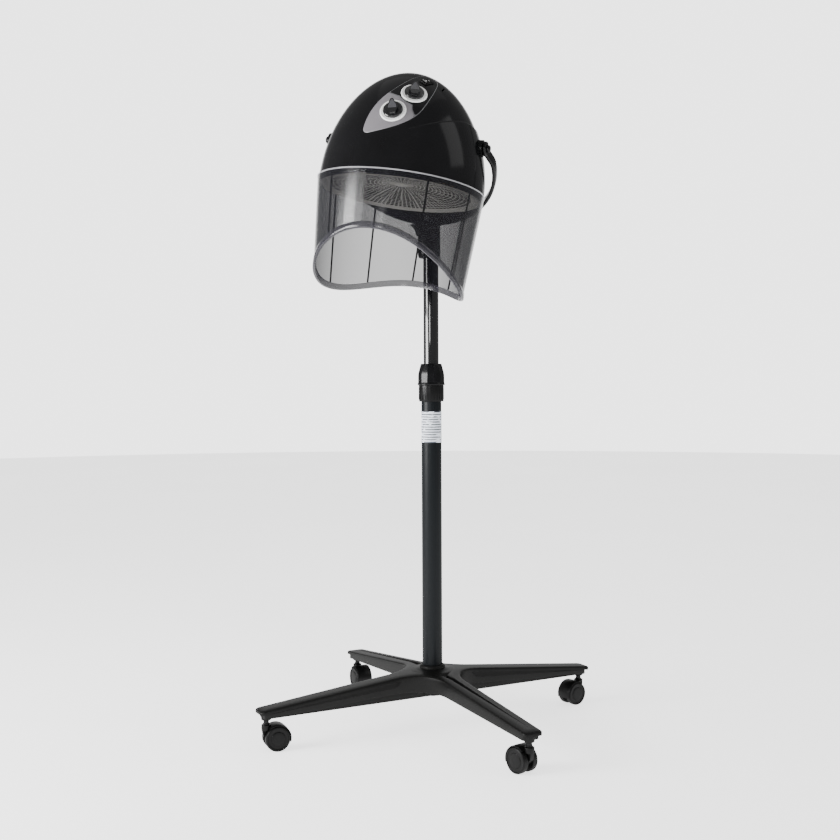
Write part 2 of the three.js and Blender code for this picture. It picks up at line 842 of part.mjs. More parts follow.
function pivotBolt() {
  return alongX(join(rod(7.5, 122, 129.4, 6), rod(4, 125, 159, 16)));
}

function pivotCap() {
  const start = yoke.pivotHalf + yoke.eyeThickness / 2 + GAP;
  return alongX(
    lathe([[0, start], [7.2, start], [7.2, start + 3.5], [5.4, start + 5.6], [0, start + 6.2]], SMALL_ROUND),
  );
}

for (const [side, name] of [[-1, "left"], [1, "right"]]) {
  const mirrored = (geometry) => closed(geometry.clone().rotateZ(side < 0 ? Math.PI : 0));
  place(hoodFrame, `pivot_disc_${name}`, mirrored(pivotDisc()), softBlack);
  place(hoodFrame, `pivot_bolt_${name}`, mirrored(pivotBolt()), steel);
  place(hoodFrame, `pivot_cap_${name}`, mirrored(pivotCap()), softBlack);
}

// ---------------------------------------------------------------- controls
function dialPlate(frame) {
  return moved(tube(dials.plateRadius, dials.plateInner, dials.plateBack, dials.plateFront, 32), frame);
}

// A round skirt with a bar to hold across it, pointed at one end.
function controlKnob(frame, turn) {
  const bottom = dials.plateFront + GAP;
  const skirt = lathe([
    [0, bottom],
    [dials.knobRadius, bottom],
    [dials.knobRadius - 0.6, bottom + 3.5],
    [dials.knobRadius - 3, bottom + 5],
    [0, bottom + 5],
  ], 28);
  const bar = new THREE.Shape();
  bar.moveTo(-15, -4.5);
  bar.lineTo(14, -4.5);
  bar.lineTo(21.5, 0);
  bar.lineTo(14, 4.5);
  bar.lineTo(-15, 4.5);
  bar.closePath();
  const knob = cut(join(skirt, extruded(bar, bottom + 2, dials.knobHeight)), rod(3 + GAP, bottom - 1, 10, 12));
  return moved(knob, frame.clone().multiply(new THREE.Matrix4().makeRotationZ(radians(turn))));
}

// A control's case behind the panel, with its shaft through the dial.
function controlBody(frame, radius, depth) {
  return moved(join(rod(radius, -8 - depth, -8, 24), rod(3, -9, 9, 12)), frame);
}

place(hoodFrame, "timer_dial_plate", dialPlate(timerFrame), dialWhite);
place(hoodFrame, "heat_dial_plate", dialPlate(heatFrame), dialWhite);
place(hoodFrame, "timer_knob", controlKnob(timerFrame, dials.places.timer.turn), glossBlack);
place(hoodFrame, "heat_knob", controlKnob(heatFrame, dials.places.heat.turn), glossBlack);
place(hoodFrame, "timer_body", controlBody(timerFrame, 17, 24), steel);
place(hoodFrame, "thermostat_body", controlBody(heatFrame, 13, 18), steel);

function switchBezel() {
  const { length, width } = switchBody;
  const flange = block(-rocker.length / 2, rocker.length / 2, -rocker.width / 2, rocker.width / 2, 1.6, 2.9);
  const body = block(-length / 2, length / 2, -width / 2, width / 2, -11, 2);
  const window = block(-8.6, 8.6, -5.6, 5.6, -9, 4);
  return moved(cut(join(flange, body), window), rockerFrame);
}

// The rocker turns about a line across it, and rests with one end pressed in.
function rockerSwitch() {
  const half = 7.9;
  const profile = new THREE.Shape();
  profile.moveTo(half, 0);
  profile.lineTo(half, 4.6);
  profile.lineTo(0, 2.8);
  profile.lineTo(-half, 4.6);
  profile.lineTo(-half, 0);
  profile.absarc(0, 0, half, Math.PI, 2 * Math.PI, false);
  const key = extruded(profile, -5.2, 5.2, 8).rotateX(Math.PI / 2);
  key.rotateY(radians(rocker.throwAngle));
  return moved(key, rockerFrame);
}

place(hoodFrame, "switch_bezel", switchBezel(), softBlack);
place(hoodFrame, "rocker_switch", rockerSwitch(), glossBlack);

// ---------------------------------------------------------------- air works inside the dome
const DECK_Z = -26;
const DECK_TOP = DECK_Z + 2.5;

function fanDeck() {
  const edge = domeRadius(DECK_TOP + hood.rimBelow, -hood.wall) - 1;
  const disc = tube(edge, 7, DECK_Z, DECK_TOP);
  const holes = [];
  for (let i = 0; i < 6; i++) {
    const a = (i * Math.PI) / 3 + Math.PI / 6;
    holes.push(rod(13, DECK_Z - 1, DECK_TOP + 1, 10).translate(50 * Math.cos(a), 50 * Math.sin(a), 0));
  }
  return cut(disc, ...holes);
}

function motor() {
  const bottom = DECK_TOP + GAP;
  return lathe([
    [3 + GAP, bottom],
    [14, bottom],
    [14, bottom + 3],
    [32, bottom + 3],
    [32, bottom + 38],
    [15, bottom + 44],
    [0, bottom + 44],
    [0, bottom + 36],
    [3 + GAP, bottom + 36],
    [3 + GAP, bottom],
  ], 28);
}

// A back plate with twelve curved-back blades, on a shaft that runs up into the motor.
function impeller() {
  const pieces = [rod(12, -56, -30), rod(62, -58, -56, 28), rod(3, -40, DECK_TOP + 30, 10)];
  for (let i = 0; i < 12; i++) {
    const blade = block(22, 60, -0.8, 0.8, -57, -30).rotateZ(0.5);
    pieces.push(blade.translate(0, -8, 0).rotateZ((i * Math.PI) / 6));
  }
  return join(...pieces);
}

// A flat mica ring below the coil, on three posts from the deck.
function heaterFrame() {
  const pieces = [tube(104, 72, -65, -62.5, 28)];
  for (let i = 0; i < 3; i++) {
    const a = (i * 2 * Math.PI) / 3 + 0.5;
    pieces.push(rod(4, -64, DECK_Z - GAP, 8).translate(100 * Math.cos(a), 100 * Math.sin(a), 0));
  }
  return join(...pieces);
}

function heaterCoil() {
  return closed(new THREE.TorusGeometry(83, 7, 7, 28).translate(0, 0, -55));
}

function cableGland() {
  const gland = lathe([
    [4, -9],
    [8, -9],
    [8, 0.8],
    [11, 0.8],
    [11, 5],
    [8, 12],
    [4, 12],
    [4, -9],
  ], 16);
  const nut = rod(11, -9, -4.5, 6);
  return moved(cut(join(gland, nut), rod(4, -10, 13, 16)), onDome(180, 28));
}

place(hoodFrame, "fan_deck", fanDeck(), steel);
place(hoodFrame, "motor", motor(), steel);
place(hoodFrame, "impeller", impeller(), softBlack);
place(hoodFrame, "heater_frame", heaterFrame(), mica);
place(hoodFrame, "heater_coil", heaterCoil(), steel);
place(hoodFrame, "thermal_cutout", rod(9, DECK_TOP + GAP, DECK_TOP + 8).translate(-60, 62, 0), dialWhite);
place(hoodFrame, "cable_gland", cableGland(), softBlack);

// ---------------------------------------------------------------- grille and visor
// A shallow dome of a grille below the dome's spigot, with rings of slots.
function grille() {
  const edgeZ = -hood.rimBelow - hood.spigot - GAP;
  const rise = 19;
  const reach = 150;
  const lower = [];
  const steps = 4;
  for (let i = 0; i <= steps; i++) {
    const r = (reach * i) / steps;
    lower.push([r, edgeZ - 2.6 + rise * (1 - (r / reach) ** 2)]);
  }
  const upper = lower.map(([r, z]) => [r, z + 2.5]).reverse();
  const disc = lathe([...lower, [155.2, edgeZ - 2.6], [155.2, edgeZ], ...upper]);
  const slots = [];
  for (const ring of [50, 102]) {
    for (let i = 0; i < 8; i++) {
      const slot = block(ring - 12, ring + 12, -4, 4, edgeZ - 10, edgeZ + 30);
      slots.push(slot.rotateZ(((i + 0.5) * Math.PI) / 4));
    }
  }
  return cut(disc, ...slots);
}

// How far the visor hangs below the rim, by the angle from straight ahead.
function visorDepth(fromFront) {
  const rise = visor.sideDepth - visor.frontDepth;
  const fall = visor.sideDepth - visor.backDepth;
  if (fromFront <= visor.sideAt) {
    return visor.frontDepth + (rise * (1 - Math.cos((Math.PI * fromFront) / visor.sideAt))) / 2;
  }
  const k = (fromFront - visor.sideAt) / (180 - visor.sideAt);
  return visor.sideDepth - (fall * (1 - Math.cos(Math.PI * k))) / 2;
}

function visorWall() {
  const section = (depth) => {
    const out = (d) => visor.radius - visor.taper * d;
    const lipStart = depth - visor.lip;
    return [
      [out(0) - visor.wall, 0.5],
      [out(0) + visor.bead, 0.5],
      [out(5) + visor.bead, 5],
      [out(6.5), 6.5],
      [out(lipStart), lipStart],
      [out(lipStart + 2) + visor.lipProud, lipStart + 2],
      [out(depth) + visor.lipProud, depth],
      [out(depth) - visor.wall, depth],
    ];
  };
  const corners = 8;
  const surface = (u, v, target) => {
    const angle = u * 2 * Math.PI;
    const fromFront = Math.abs((((u * 360 + 90 + 180) % 360) + 360) % 360 - 180);
    const points = section(visorDepth(fromFront));
    const [r, depth] = points[Math.round(v * corners) % corners];
    target.set(r * Math.cos(angle), r * Math.sin(angle), -hood.rimBelow - depth);
  };
  return closed(new ParametricGeometry(surface, 48, corners));
}

place(hoodFrame, "grille", grille(), grilleGrey);
place(hoodFrame, "visor", visorWall(), smoke);

export default group;
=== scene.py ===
"""The looks of a salon hood hair dryer on its rolling stand, worked in millimetres and placed in metres."""

import math

import bmesh
import bpy
from mathutils import Matrix, Vector
from mathutils.geometry import delaunay_2d_cdt


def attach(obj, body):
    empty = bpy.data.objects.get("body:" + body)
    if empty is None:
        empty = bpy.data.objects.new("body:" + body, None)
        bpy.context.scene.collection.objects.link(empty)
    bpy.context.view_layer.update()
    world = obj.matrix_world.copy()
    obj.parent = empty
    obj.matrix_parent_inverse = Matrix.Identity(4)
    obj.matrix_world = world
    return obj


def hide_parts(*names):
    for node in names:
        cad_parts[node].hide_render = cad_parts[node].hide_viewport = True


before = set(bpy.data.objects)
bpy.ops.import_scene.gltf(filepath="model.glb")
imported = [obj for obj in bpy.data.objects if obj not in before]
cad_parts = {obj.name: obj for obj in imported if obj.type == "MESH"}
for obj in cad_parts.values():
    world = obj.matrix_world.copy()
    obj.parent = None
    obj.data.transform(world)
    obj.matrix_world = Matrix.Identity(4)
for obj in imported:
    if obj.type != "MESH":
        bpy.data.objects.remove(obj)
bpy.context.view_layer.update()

# ---------------------------------------------------------------- the CAD's own dimensions, in millimetres
COLUMN_Y = 49.08
COLUMN_RADIUS = 21
COLUMN_BORE = 19.5
COLUMN_BOTTOM = 80
COLUMN_TOP = 702
LABEL_BOTTOM = 600
LABEL_TOP = 665
COLLAR_BOTTOM = 686
COLLAR_SPLIT = 720
MAST_RADIUS = 16
MAST_BORE = 14.5
MAST_BOTTOM = 420
MAST_TOP = 1009
SEAT_HEIGHT = 1030.4
CANT = 6.24
PIVOT_FORWARD = 215
PIVOT_ABOVE = 154.1
TILT = 5.76
RIM_BELOW = 84
DOME_RADIUS = 157
DOME_HEIGHT = 218
DOME_EXPONENT = 1.95
SPIGOT = 10
SPIGOT_RADIUS = 155.9
LEG_ANGLES = (45, 135, 225, 315)
CASTER_REACH = 375
CASTER_YAW = (235, 313, 38, 147)
CASTER_TRAIL = 20
WHEEL_RADIUS = 25

METRES = Matrix.Scale(0.001, 4)
STAND = Matrix.Translation((0, COLUMN_Y, 0))
YOKE = STAND @ Matrix.Translation((0, 0, SEAT_HEIGHT)) @ Matrix.Rotation(math.radians(CANT), 4, "Y")
PIVOTS = YOKE @ Matrix.Translation((0, -PIVOT_FORWARD, PIVOT_ABOVE))
HOOD = PIVOTS @ Matrix.Rotation(math.radians(-TILT), 4, "X")


# ---------------------------------------------------------------- materials
class Nodes:
    """A material's node tree, with short ways to add and link nodes."""

    def __init__(self, name):
        self.material = bpy.data.materials.new(name)
        self.material.use_nodes = True
        self.tree = self.material.node_tree
        self.shader = self.tree.nodes["Principled BSDF"]
        self.coords = self.tree.nodes.new("ShaderNodeTexCoord").outputs["Object"]

    def add(self, kind, **settings):
        node = self.tree.nodes.new(kind)
        for key, value in settings.items():
            setattr(node, key, value)
        return node

    def link(self, source, target):
        self.tree.links.new(source, target)

    def noise(self, scale, detail=3.0, stretch=None):
        node = self.add("ShaderNodeTexNoise")
        node.inputs["Scale"].default_value = scale
        node.inputs["Detail"].default_value = detail
        if stretch:
            mapping = self.add("ShaderNodeMapping")
            mapping.inputs["Scale"].default_value = stretch
            self.link(self.coords, mapping.inputs["Vector"])
            self.link(mapping.outputs["Vector"], node.inputs["Vector"])
        else:
            self.link(self.coords, node.inputs["Vector"])
        return node.outputs["Fac"]

    def span(self, value, low, high):
        node = self.add("ShaderNodeMapRange")
        node.inputs["From Min"].default_value = 0.3
        node.inputs["From Max"].default_value = 0.7
        node.inputs["To Min"].default_value = low
        node.inputs["To Max"].default_value = high
        self.link(value, node.inputs["Value"])
        return node.outputs["Result"]

    def ramp(self, value, stops):
        node = self.add("ShaderNodeValToRGB")
        elements = node.color_ramp.elements
        while len(elements) < len(stops):
            elements.new(0.5)
        for element, (place, colour) in zip(elements, stops):
            element.position = place
            element.color = (*colour, 1)
        self.link(value, node.inputs["Fac"])
        return node.outputs["Color"]

    def bump(self, height, strength, distance):
        node = self.add("ShaderNodeBump")
        node.inputs["Strength"].default_value = strength
        node.inputs["Distance"].default_value = distance
        self.link(height, node.inputs["Height"])
        self.link(node.outputs["Normal"], self.shader.inputs["Normal"])


def shade(colour, factor):
    return tuple(min(1, c * factor) for c in colour)


def surface(
    name,
    colour,
    roughness,
    metallic=0.0,
    coat=0.0,
    gloss=0.5,
    mottle=0.12,
    grain=900.0,
    bump=0.05,
    stretch=None,
):
    """A surface whose colour and gloss drift a little, with a fine grain in its relief."""
    n = Nodes(name)
    n.shader.inputs["Metallic"].default_value = metallic
    n.shader.inputs["Specular IOR Level"].default_value = gloss
    n.shader.inputs["Coat Weight"].default_value = coat
    n.shader.inputs["Coat Roughness"].default_value = roughness
    cloud = n.noise(14, 4, stretch)
    n.link(
        n.ramp(cloud, [(0.3, shade(colour, 1 - mottle)), (0.7, shade(colour, 1 + mottle))]),
        n.shader.inputs["Base Color"],
    )
    n.link(n.span(n.noise(40, 5, stretch), roughness * 0.85, roughness * 1.2), n.shader.inputs["Roughness"])
    if bump:
        n.bump(n.noise(grain, 2, stretch), bump, 0.0004)
    return n.material


def coated_black(name, colour, roughness, coat, mottle=0.2, **relief):
    """A black whose shine is its coat's alone, so that its edges stay dark."""
    return surface(name, colour, roughness, coat=coat, gloss=0, mottle=mottle, **relief)


def smoke_plastic(name, alpha, colour):
    """Thin smoked plastic: darker where it is seen edge on."""
    n = Nodes(name)
    n.shader.inputs["IOR"].default_value = 1.5
    n.shader.inputs["Specular IOR Level"].default_value = 0.0
    n.shader.inputs["Coat Weight"].default_value = 0.7
    n.shader.inputs["Coat Roughness"].default_value = 0.14
    cloud = n.noise(9, 2)
    stops = [(0.3, shade(colour, 0.9)), (0.7, shade(colour, 1.1))]
    n.link(n.ramp(cloud, stops), n.shader.inputs["Base Color"])
    n.link(n.span(n.noise(25, 3), 0.13, 0.17), n.shader.inputs["Roughness"])
    edge = n.add("ShaderNodeLayerWeight")
    edge.inputs["Blend"].default_value = 0.35
    depth = n.add("ShaderNodeMapRange")
    depth.inputs["To Min"].default_value = alpha
    depth.inputs["To Max"].default_value = min(1, alpha + 0.4)
    n.link(edge.outputs["Facing"], depth.inputs["Value"])
    n.link(depth.outputs["Result"], n.shader.inputs["Alpha"])
    return n.material


def label_paper():
    """A pale sticker with rows of plain grey bars and no lettering."""
    n = Nodes("label_paper")
    split = n.add("ShaderNodeSeparateXYZ")
    n.link(n.coords, split.inputs[0])
    rows = n.add("ShaderNodeMath", operation="MULTIPLY")
    rows.inputs[1].default_value = 190.0
    n.link(split.outputs["Z"], rows.inputs[0])
    part = n.add("ShaderNodeMath", operation="FRACT")
    n.link(rows.outputs[0], part.inputs[0])
    bar = n.add("ShaderNodeMath", operation="LESS_THAN")
    bar.inputs[1].default_value = 0.46
    n.link(part.outputs[0], bar.inputs[0])
    gaps = n.add("ShaderNodeMath", operation="GREATER_THAN")
    gaps.inputs[1].default_value = 0.41
    n.link(n.noise(60, 1, (1, 1, 3.1)), gaps.inputs[0])
    ink = n.add("ShaderNodeMath", operation="MULTIPLY")
    n.link(bar.outputs[0], ink.inputs[0])
    n.link(gaps.outputs[0], ink.inputs[1])
    n.link(
        n.ramp(ink.outputs[0], [(0.0, (0.72, 0.76, 0.83)), (1.0, (0.07, 0.08, 0.10))]),
        n.shader.inputs["Base Color"],
    )
    n.link(n.span(n.noise(50), 0.45, 0.6), n.shader.inputs["Roughness"])
    return n.material


gloss_black = coated_black("gloss_black", (0.0045, 0.0045, 0.005), 0.13, 0.27, grain=300, bump=0.01)
knob_black = coated_black("knob_black", (0.006, 0.006, 0.0065), 0.12, 0.9, grain=400, bump=0.01)
deep_black = coated_black("deep_black", (0.003, 0.003, 0.0035), 0.2, 0.32, grain=400, bump=0.02)
satin_black = coated_black("satin_black", (0.0032, 0.0032, 0.0034), 0.3, 0.28, grain=1500, bump=0.08)
matt_black = coated_black("matt_black", (0.0042, 0.0042, 0.004), 0.42, 0.26, 0.18, grain=2600, bump=0.35)
wheel_black = coated_black("wheel_black", (0.003, 0.003, 0.003), 0.38, 0.28, 0.25, grain=2000, bump=0.2)
painted_tube = coated_black(
    "painted_tube", (0.0038, 0.005, 0.0062), 0.36, 0.26, 0.12, bump=0, stretch=(1, 1, 0.1)
)
gloss_tube = coated_black("gloss_tube", (0.003, 0.003, 0.0035), 0.05, 1.0, 0.12, bump=0, stretch=(1, 1, 0.03))
silver_grey = surface("silver_grey", (0.16, 0.151, 0.163), 0.36, mottle=0.06, grain=3000, bump=0.1)
trim_grey = surface("trim_grey", (0.09, 0.09, 0.095), 0.3, mottle=0.06, grain=1500, bump=0.05)
dial_white = surface("dial_white", (0.93, 0.93, 0.92), 0.3, mottle=0.03, grain=1500, bump=0.03)
# Dark grey for the dials' tick marks, and for the knobs' top plates, where it is painted sheen.
mark_and_sheen_grey = surface("mark_and_sheen_grey", (0.05, 0.05, 0.055), 0.45, mottle=0.1)
grille_grey = surface("grille_grey", (0.42, 0.41, 0.38), 0.5, mottle=0.1, grain=2200, bump=0.2)
steel = surface("steel", (0.55, 0.55, 0.56), 0.3, metallic=1.0, mottle=0.08, grain=700, bump=0.05)
brushed = surface("brushed", (0.5, 0.5, 0.5), 0.35, 1.0, mottle=0.1, grain=600, bump=0.1, stretch=(1, 1, 12))
mica = surface("mica", (0.42, 0.33, 0.18), 0.6, mottle=0.3, grain=200, bump=0.2)
cream = surface("cream", (0.75, 0.73, 0.66), 0.4, mottle=0.05)
smoke = smoke_plastic("smoke", 0.47, (0.006, 0.006, 0.0085))
smoke_lip = smoke_plastic("smoke_lip", 0.72, (0.022, 0.021, 0.027))
smoke_seam = smoke_plastic("smoke_seam", 0.85, (0.008, 0.008, 0.009))
# Light grey, not smoked: a painted highlight standing in for the bright line that the visor's top rim
# reflects.
rim_painted_highlight = smoke_plastic("rim_painted_highlight", 0.9, (0.22, 0.22, 0.23))
label_material = label_paper()


# ---------------------------------------------------------------- mesh helpers
def rounded(profile, radius, steps=4):
    """The same outline with the corners between its ends softened by curves of up to that reach."""
    out = [profile[0]]
    for before, here, after in zip(profile, profile[1:], profile[2:]):
        a = Vector(before) - Vector(here)
        b = Vector(after) - Vector(here)
        if a.length < 1e-6 or b.length < 1e-6:
            continue
        reach = min(radius, a.length * 0.45, b.length * 0.45)
        start = Vector(here) + a.normalized() * reach
        end = Vector(here) + b.normalized() * reach
        for i in range(steps + 1):
            t = i / steps
            middle = start.lerp(Vector(here), t)
            out.append(tuple(middle.lerp(Vector(here).lerp(end, t), t)))
    out.append(profile[-1])
    return out


def lathe(bm, profile, segments=72, matrix=Matrix.Identity(4)):
    """Adds a round body about +Z from (radius, z) points."""
    closed = (Vector(profile[0]) - Vector(profile[-1])).length < 1e-6
    points = profile[:-1] if closed else profile
    rings = []
    for r, z in points:
        if r < 1e-6:
            rings.append([bm.verts.new(matrix @ Vector((0, 0, z)))])
        else:
            turns = [2 * math.pi * k / segments for k in range(segments)]
            points_round = [Vector((r * math.cos(a), r * math.sin(a), z)) for a in turns]
            rings.append([bm.verts.new(matrix @ point) for point in points_round])
    pairs = list(zip(rings, rings[1:]))
    if closed:
        pairs.append((rings[-1], rings[0]))
    for low, high in pairs:
        for k in range(segments):
            n = (k + 1) % segments
            if len(low) == 1 and len(high) == 1:
                continue
            if len(low) == 1:
                bm.faces.new((low[0], high[n], high[k]))
            elif len(high) == 1:
                bm.faces.new((low[k], low[n], high[0]))
            else:
                bm.faces.new((low[k], low[n], high[n], high[k]))
    return bm


def tube_profile(bore, radius, bottom, top):
    return [(bore, bottom), (bore, top), (radius, top), (radius, bottom), (bore, bottom)]


def ring_body(bm, outer, inner, z0, z1, segments=96, edge=0.6, matrix=Matrix.Identity(4)):
    middle = (z0 + z1) / 2
    profile = [(inner, middle), (inner, z0), (outer, z0), (outer, z1), (inner, z1), (inner, middle)]
    return lathe(bm, rounded(profile, edge), segments, matrix)


def loft(bm, rings, cap_start=True, cap_end=True):
    """Adds faces through rings of points that all have the same number."""
    made = [[bm.verts.new(p) for p in ring] for ring in rings]
    count = len(rings[0])
    for low, high in zip(made, made[1:]):
        for k in range(count):
            n = (k + 1) % count
            bm.faces.new((low[k], low[n], high[n], high[k]))
    if cap_start:
        bm.faces.new(tuple(reversed(made[0])))
    if cap_end:
        bm.faces.new(tuple(made[-1]))
    return bm


def block(bm, size, matrix=Matrix.Identity(4)):
    bmesh.ops.create_cube(bm, size=1, matrix=matrix @ Matrix.Diagonal((*size, 1)))
    return bm


def prism(bm, outline, z0, z1, matrix=Matrix.Identity(4)):
    rings = [[matrix @ Vector((x, y, z)) for x, y in outline] for z in (z0, z1)]
    return loft(bm, rings)


def arc(cx, cy, radius, start, end, steps):
    """Points on an arc between two angles in degrees."""
    turns = [math.radians(start + (end - start) * k / steps) for k in range(steps + 1)]
    return [(cx + radius * math.cos(a), cy + radius * math.sin(a)) for a in turns]


def mesh_from(name, bm):
    mesh = bpy.data.meshes.new(name)
    bm.to_mesh(mesh)
    bm.free()
    return mesh


def add_object(name, data):
    obj = bpy.data.objects.new(name, data)
    bpy.context.scene.collection.objects.link(obj)
    return obj


def piece(name, bm, place, body, material, nodes=(), sharp=35, bevel=0.0):
    """Makes a mesh object of bm in a frame, lets it ride on a body and stand for CAD nodes."""
    bmesh.ops.recalc_face_normals(bm, faces=bm.faces)
    bm.transform(METRES @ place)
    mesh = mesh_from(name, bm)
    mesh.polygons.foreach_set("use_smooth", [True] * len(mesh.polygons))
    mesh.set_sharp_from_angle(angle=math.radians(sharp))
    obj = add_object(name, mesh)
    obj.data.materials.append(material)
    if bevel:
        modifier = obj.modifiers.new("edges", "BEVEL")
        modifier.width = bevel * 0.001
        modifier.segments = 3
        modifier.limit_method = "ANGLE"
        modifier.angle_limit = math.radians(30)
        modifier.harden_normals = True
    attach(obj, body)
    if nodes:
        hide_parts(*nodes)
    return obj


def dress(material, *names):
    """Gives CAD nodes a material."""
    for name in names:
        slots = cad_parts[name].material_slots
        for entry in slots:
            entry.material = material
        if not slots:
            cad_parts[name].data.materials.append(material)


# ---------------------------------------------------------------- base
HALF_WIDTH = 23
TIP_REACH = 392
WEB_RADIUS = 75
HUB_TOP = 121
TIP_TOP = 83
HUB_BOTTOM = 84
TIP_BOTTOM = 66
TAPER = 0.1
CORE_RADIUS = 34


def star_outline(inset, end_inset=None):
    """The four-legged outline, moved inwards by an inset."""
    half = HALF_WIDTH - inset
    tip = TIP_REACH - (inset if end_inset is None else end_inset)
    web = WEB_RADIUS + inset
    corner = max(9 - inset * 0.5, 1.0) if half > 9 else half * 0.6
    centre = (half + web) * math.sqrt(2)
    points = []
    for leg in LEG_ANGLES:
        facing = leg - 45
        cx = centre * math.cos(math.radians(facing))
        cy = centre * math.sin(math.radians(facing))
        points += arc(cx, cy, web, facing + 225, facing + 135, 16)
        a = math.radians(leg)
        for side in (-1, 1):
            along = tip - corner
            across = side * (half - corner)
            x = along * math.cos(a) - across * math.sin(a)
            y = along * math.sin(a) + across * math.cos(a)
            start = leg - 90 if side < 0 else leg
            points += arc(x, y, corner, start, start + 90, 6)
    return points


def leg_height(r, hub, tip):
    share = (max(r, CORE_RADIUS) - CORE_RADIUS) / (TIP_REACH - CORE_RADIUS)
    return hub + (tip - hub) * share


def on_leg(x, y, drop, from_top):
    """A point of the outline, narrowed towards the leg's tip, at a drop below the top or above the bottom."""
    r = math.hypot(x, y)
    quarter = math.pi / 2
    leg = round((math.atan2(y, x) - quarter / 2) / quarter) * quarter + quarter / 2
    along = x * math.cos(leg) + y * math.sin(leg)
    across = -x * math.sin(leg) + y * math.cos(leg)
    outer = max(0, (along - WEB_RADIUS) / (TIP_REACH - WEB_RADIUS))
    across *= 1 - TAPER * outer
    top = leg_height(r, HUB_TOP, TIP_TOP)
    bottom = leg_height(r, HUB_BOTTOM, TIP_BOTTOM)
    z = top - drop if from_top else bottom + drop
    turned_x = along * math.cos(leg) - across * math.sin(leg)
    turned_y = along * math.sin(leg) + across * math.cos(leg)
    return Vector((turned_x, turned_y, z))


def make_base():
    bm = bmesh.new()
    plate = [(0.0, 7.2), (0.0, 2.6), (0.4, 1.4), (1.2, 0.6), (2.6, 0.0)]
    plate += [(6.0, -0.5), (12.0, -0.9), (18.0, -1.0)]
    rings = [[on_leg(x, y, 7.2, True) for x, y in star_outline(2.0)]]
    for inset, drop in plate:
        rings.append([on_leg(x, y, drop, True) for x, y in star_outline(inset)])
    loft(bm, rings)
    skirt = [(5.0, 0.0), (3.8, 0.5), (3.2, 1.8)]
    rings = [[on_leg(x, y, rise, False) for x, y in star_outline(inset, inset + 5)] for inset, rise in skirt]
    rings.append([on_leg(x, y, 5.0, True) for x, y in star_outline(3.2, 8.2)])
    loft(bm, rings)
    lathe(bm, rounded([(0, 70), (34, 70), (34, 90), (0, 90)], 1.5), 72)
    hub = [(0, 112), (58, 112), (50, 120.2), (36, 121.6), (28.5, 123.6), (21.4, 124.2), (0, 124.2)]
    lathe(bm, rounded(hub, 6, 6), 96)
    for leg in LEG_ANGLES:
        a = math.radians(leg)
        place = Matrix.Translation((CASTER_REACH * math.cos(a), CASTER_REACH * math.sin(a), 0))
        lathe(bm, rounded([(0, 62), (9.5, 62), (11.8, 78), (0, 78)], 1.2), 36, place)
    return piece("base", bm, STAND, "base", matt_black, ["base_frame"], sharp=50)


def make_column():
    bm = bmesh.new()
    foot = [(21.35, 121.8), (27, 121.8), (26.6, 127.5), (24.2, 130.4), (21.35, 131.2), (21.35, 121.8)]
    lathe(bm, rounded(foot, 0.8), 96)
    piece("foot_collar", bm, STAND, "base", matt_black, ["column_foot_ring"])
    bm = bmesh.new()
    lathe(bm, rounded(tube_profile(COLUMN_BORE, COLUMN_RADIUS, COLUMN_BOTTOM, COLUMN_TOP), 0.3), 96)
    piece("lower_tube", bm, STAND, "base", painted_tube, ["lower_column"])
    bm = bmesh.new()
    inner = 21.08
    outer = 21.22
    start = -173
    spread = 200
    turns = [start + spread * k / 60 for k in range(61)]
    cuts = [(inner, LABEL_BOTTOM), (outer, LABEL_BOTTOM), (outer, LABEL_TOP), (inner, LABEL_TOP)]
    rings = []
    for a in turns:
        c = math.cos(math.radians(a))
        s = math.sin(math.radians(a))
        rings.append([Vector((r * c, r * s, z)) for r, z in cuts])
    loft(bm, rings)
    piece("label", bm, STAND, "base", label_material, ["rating_label"])
    dress(steel, "foot_bolt", "foot_washer")


def faceted_lathe(bm, profile, facets, softness, segments):
    """A round body whose outline is a polygon with soft corners."""
    rings = []
    for r, z, flatness in profile:
        ring = []
        for k in range(segments):
            a = 2 * math.pi * k / segments
            within = (a * facets / (2 * math.pi)) % 1 - 0.5
            corner = math.pi / facets
            flat = math.cos(corner) / math.cos(within * 2 * corner)
            blend = flatness * min(1, (0.5 - abs(within)) / softness)
            radius = r * (1 + (flat - 1) * blend)
            ring.append(Vector((radius * math.cos(a), radius * math.sin(a), z)))
        rings.append(ring)
    loft(bm, rings, cap_start=False, cap_end=False)
    made = list(bm.verts)
    first = made[:segments]
    last = made[-segments:]
    for k in range(segments):
        n = (k + 1) % segments
        bm.faces.new((last[k], last[n], first[n], first[k]))
    return bm


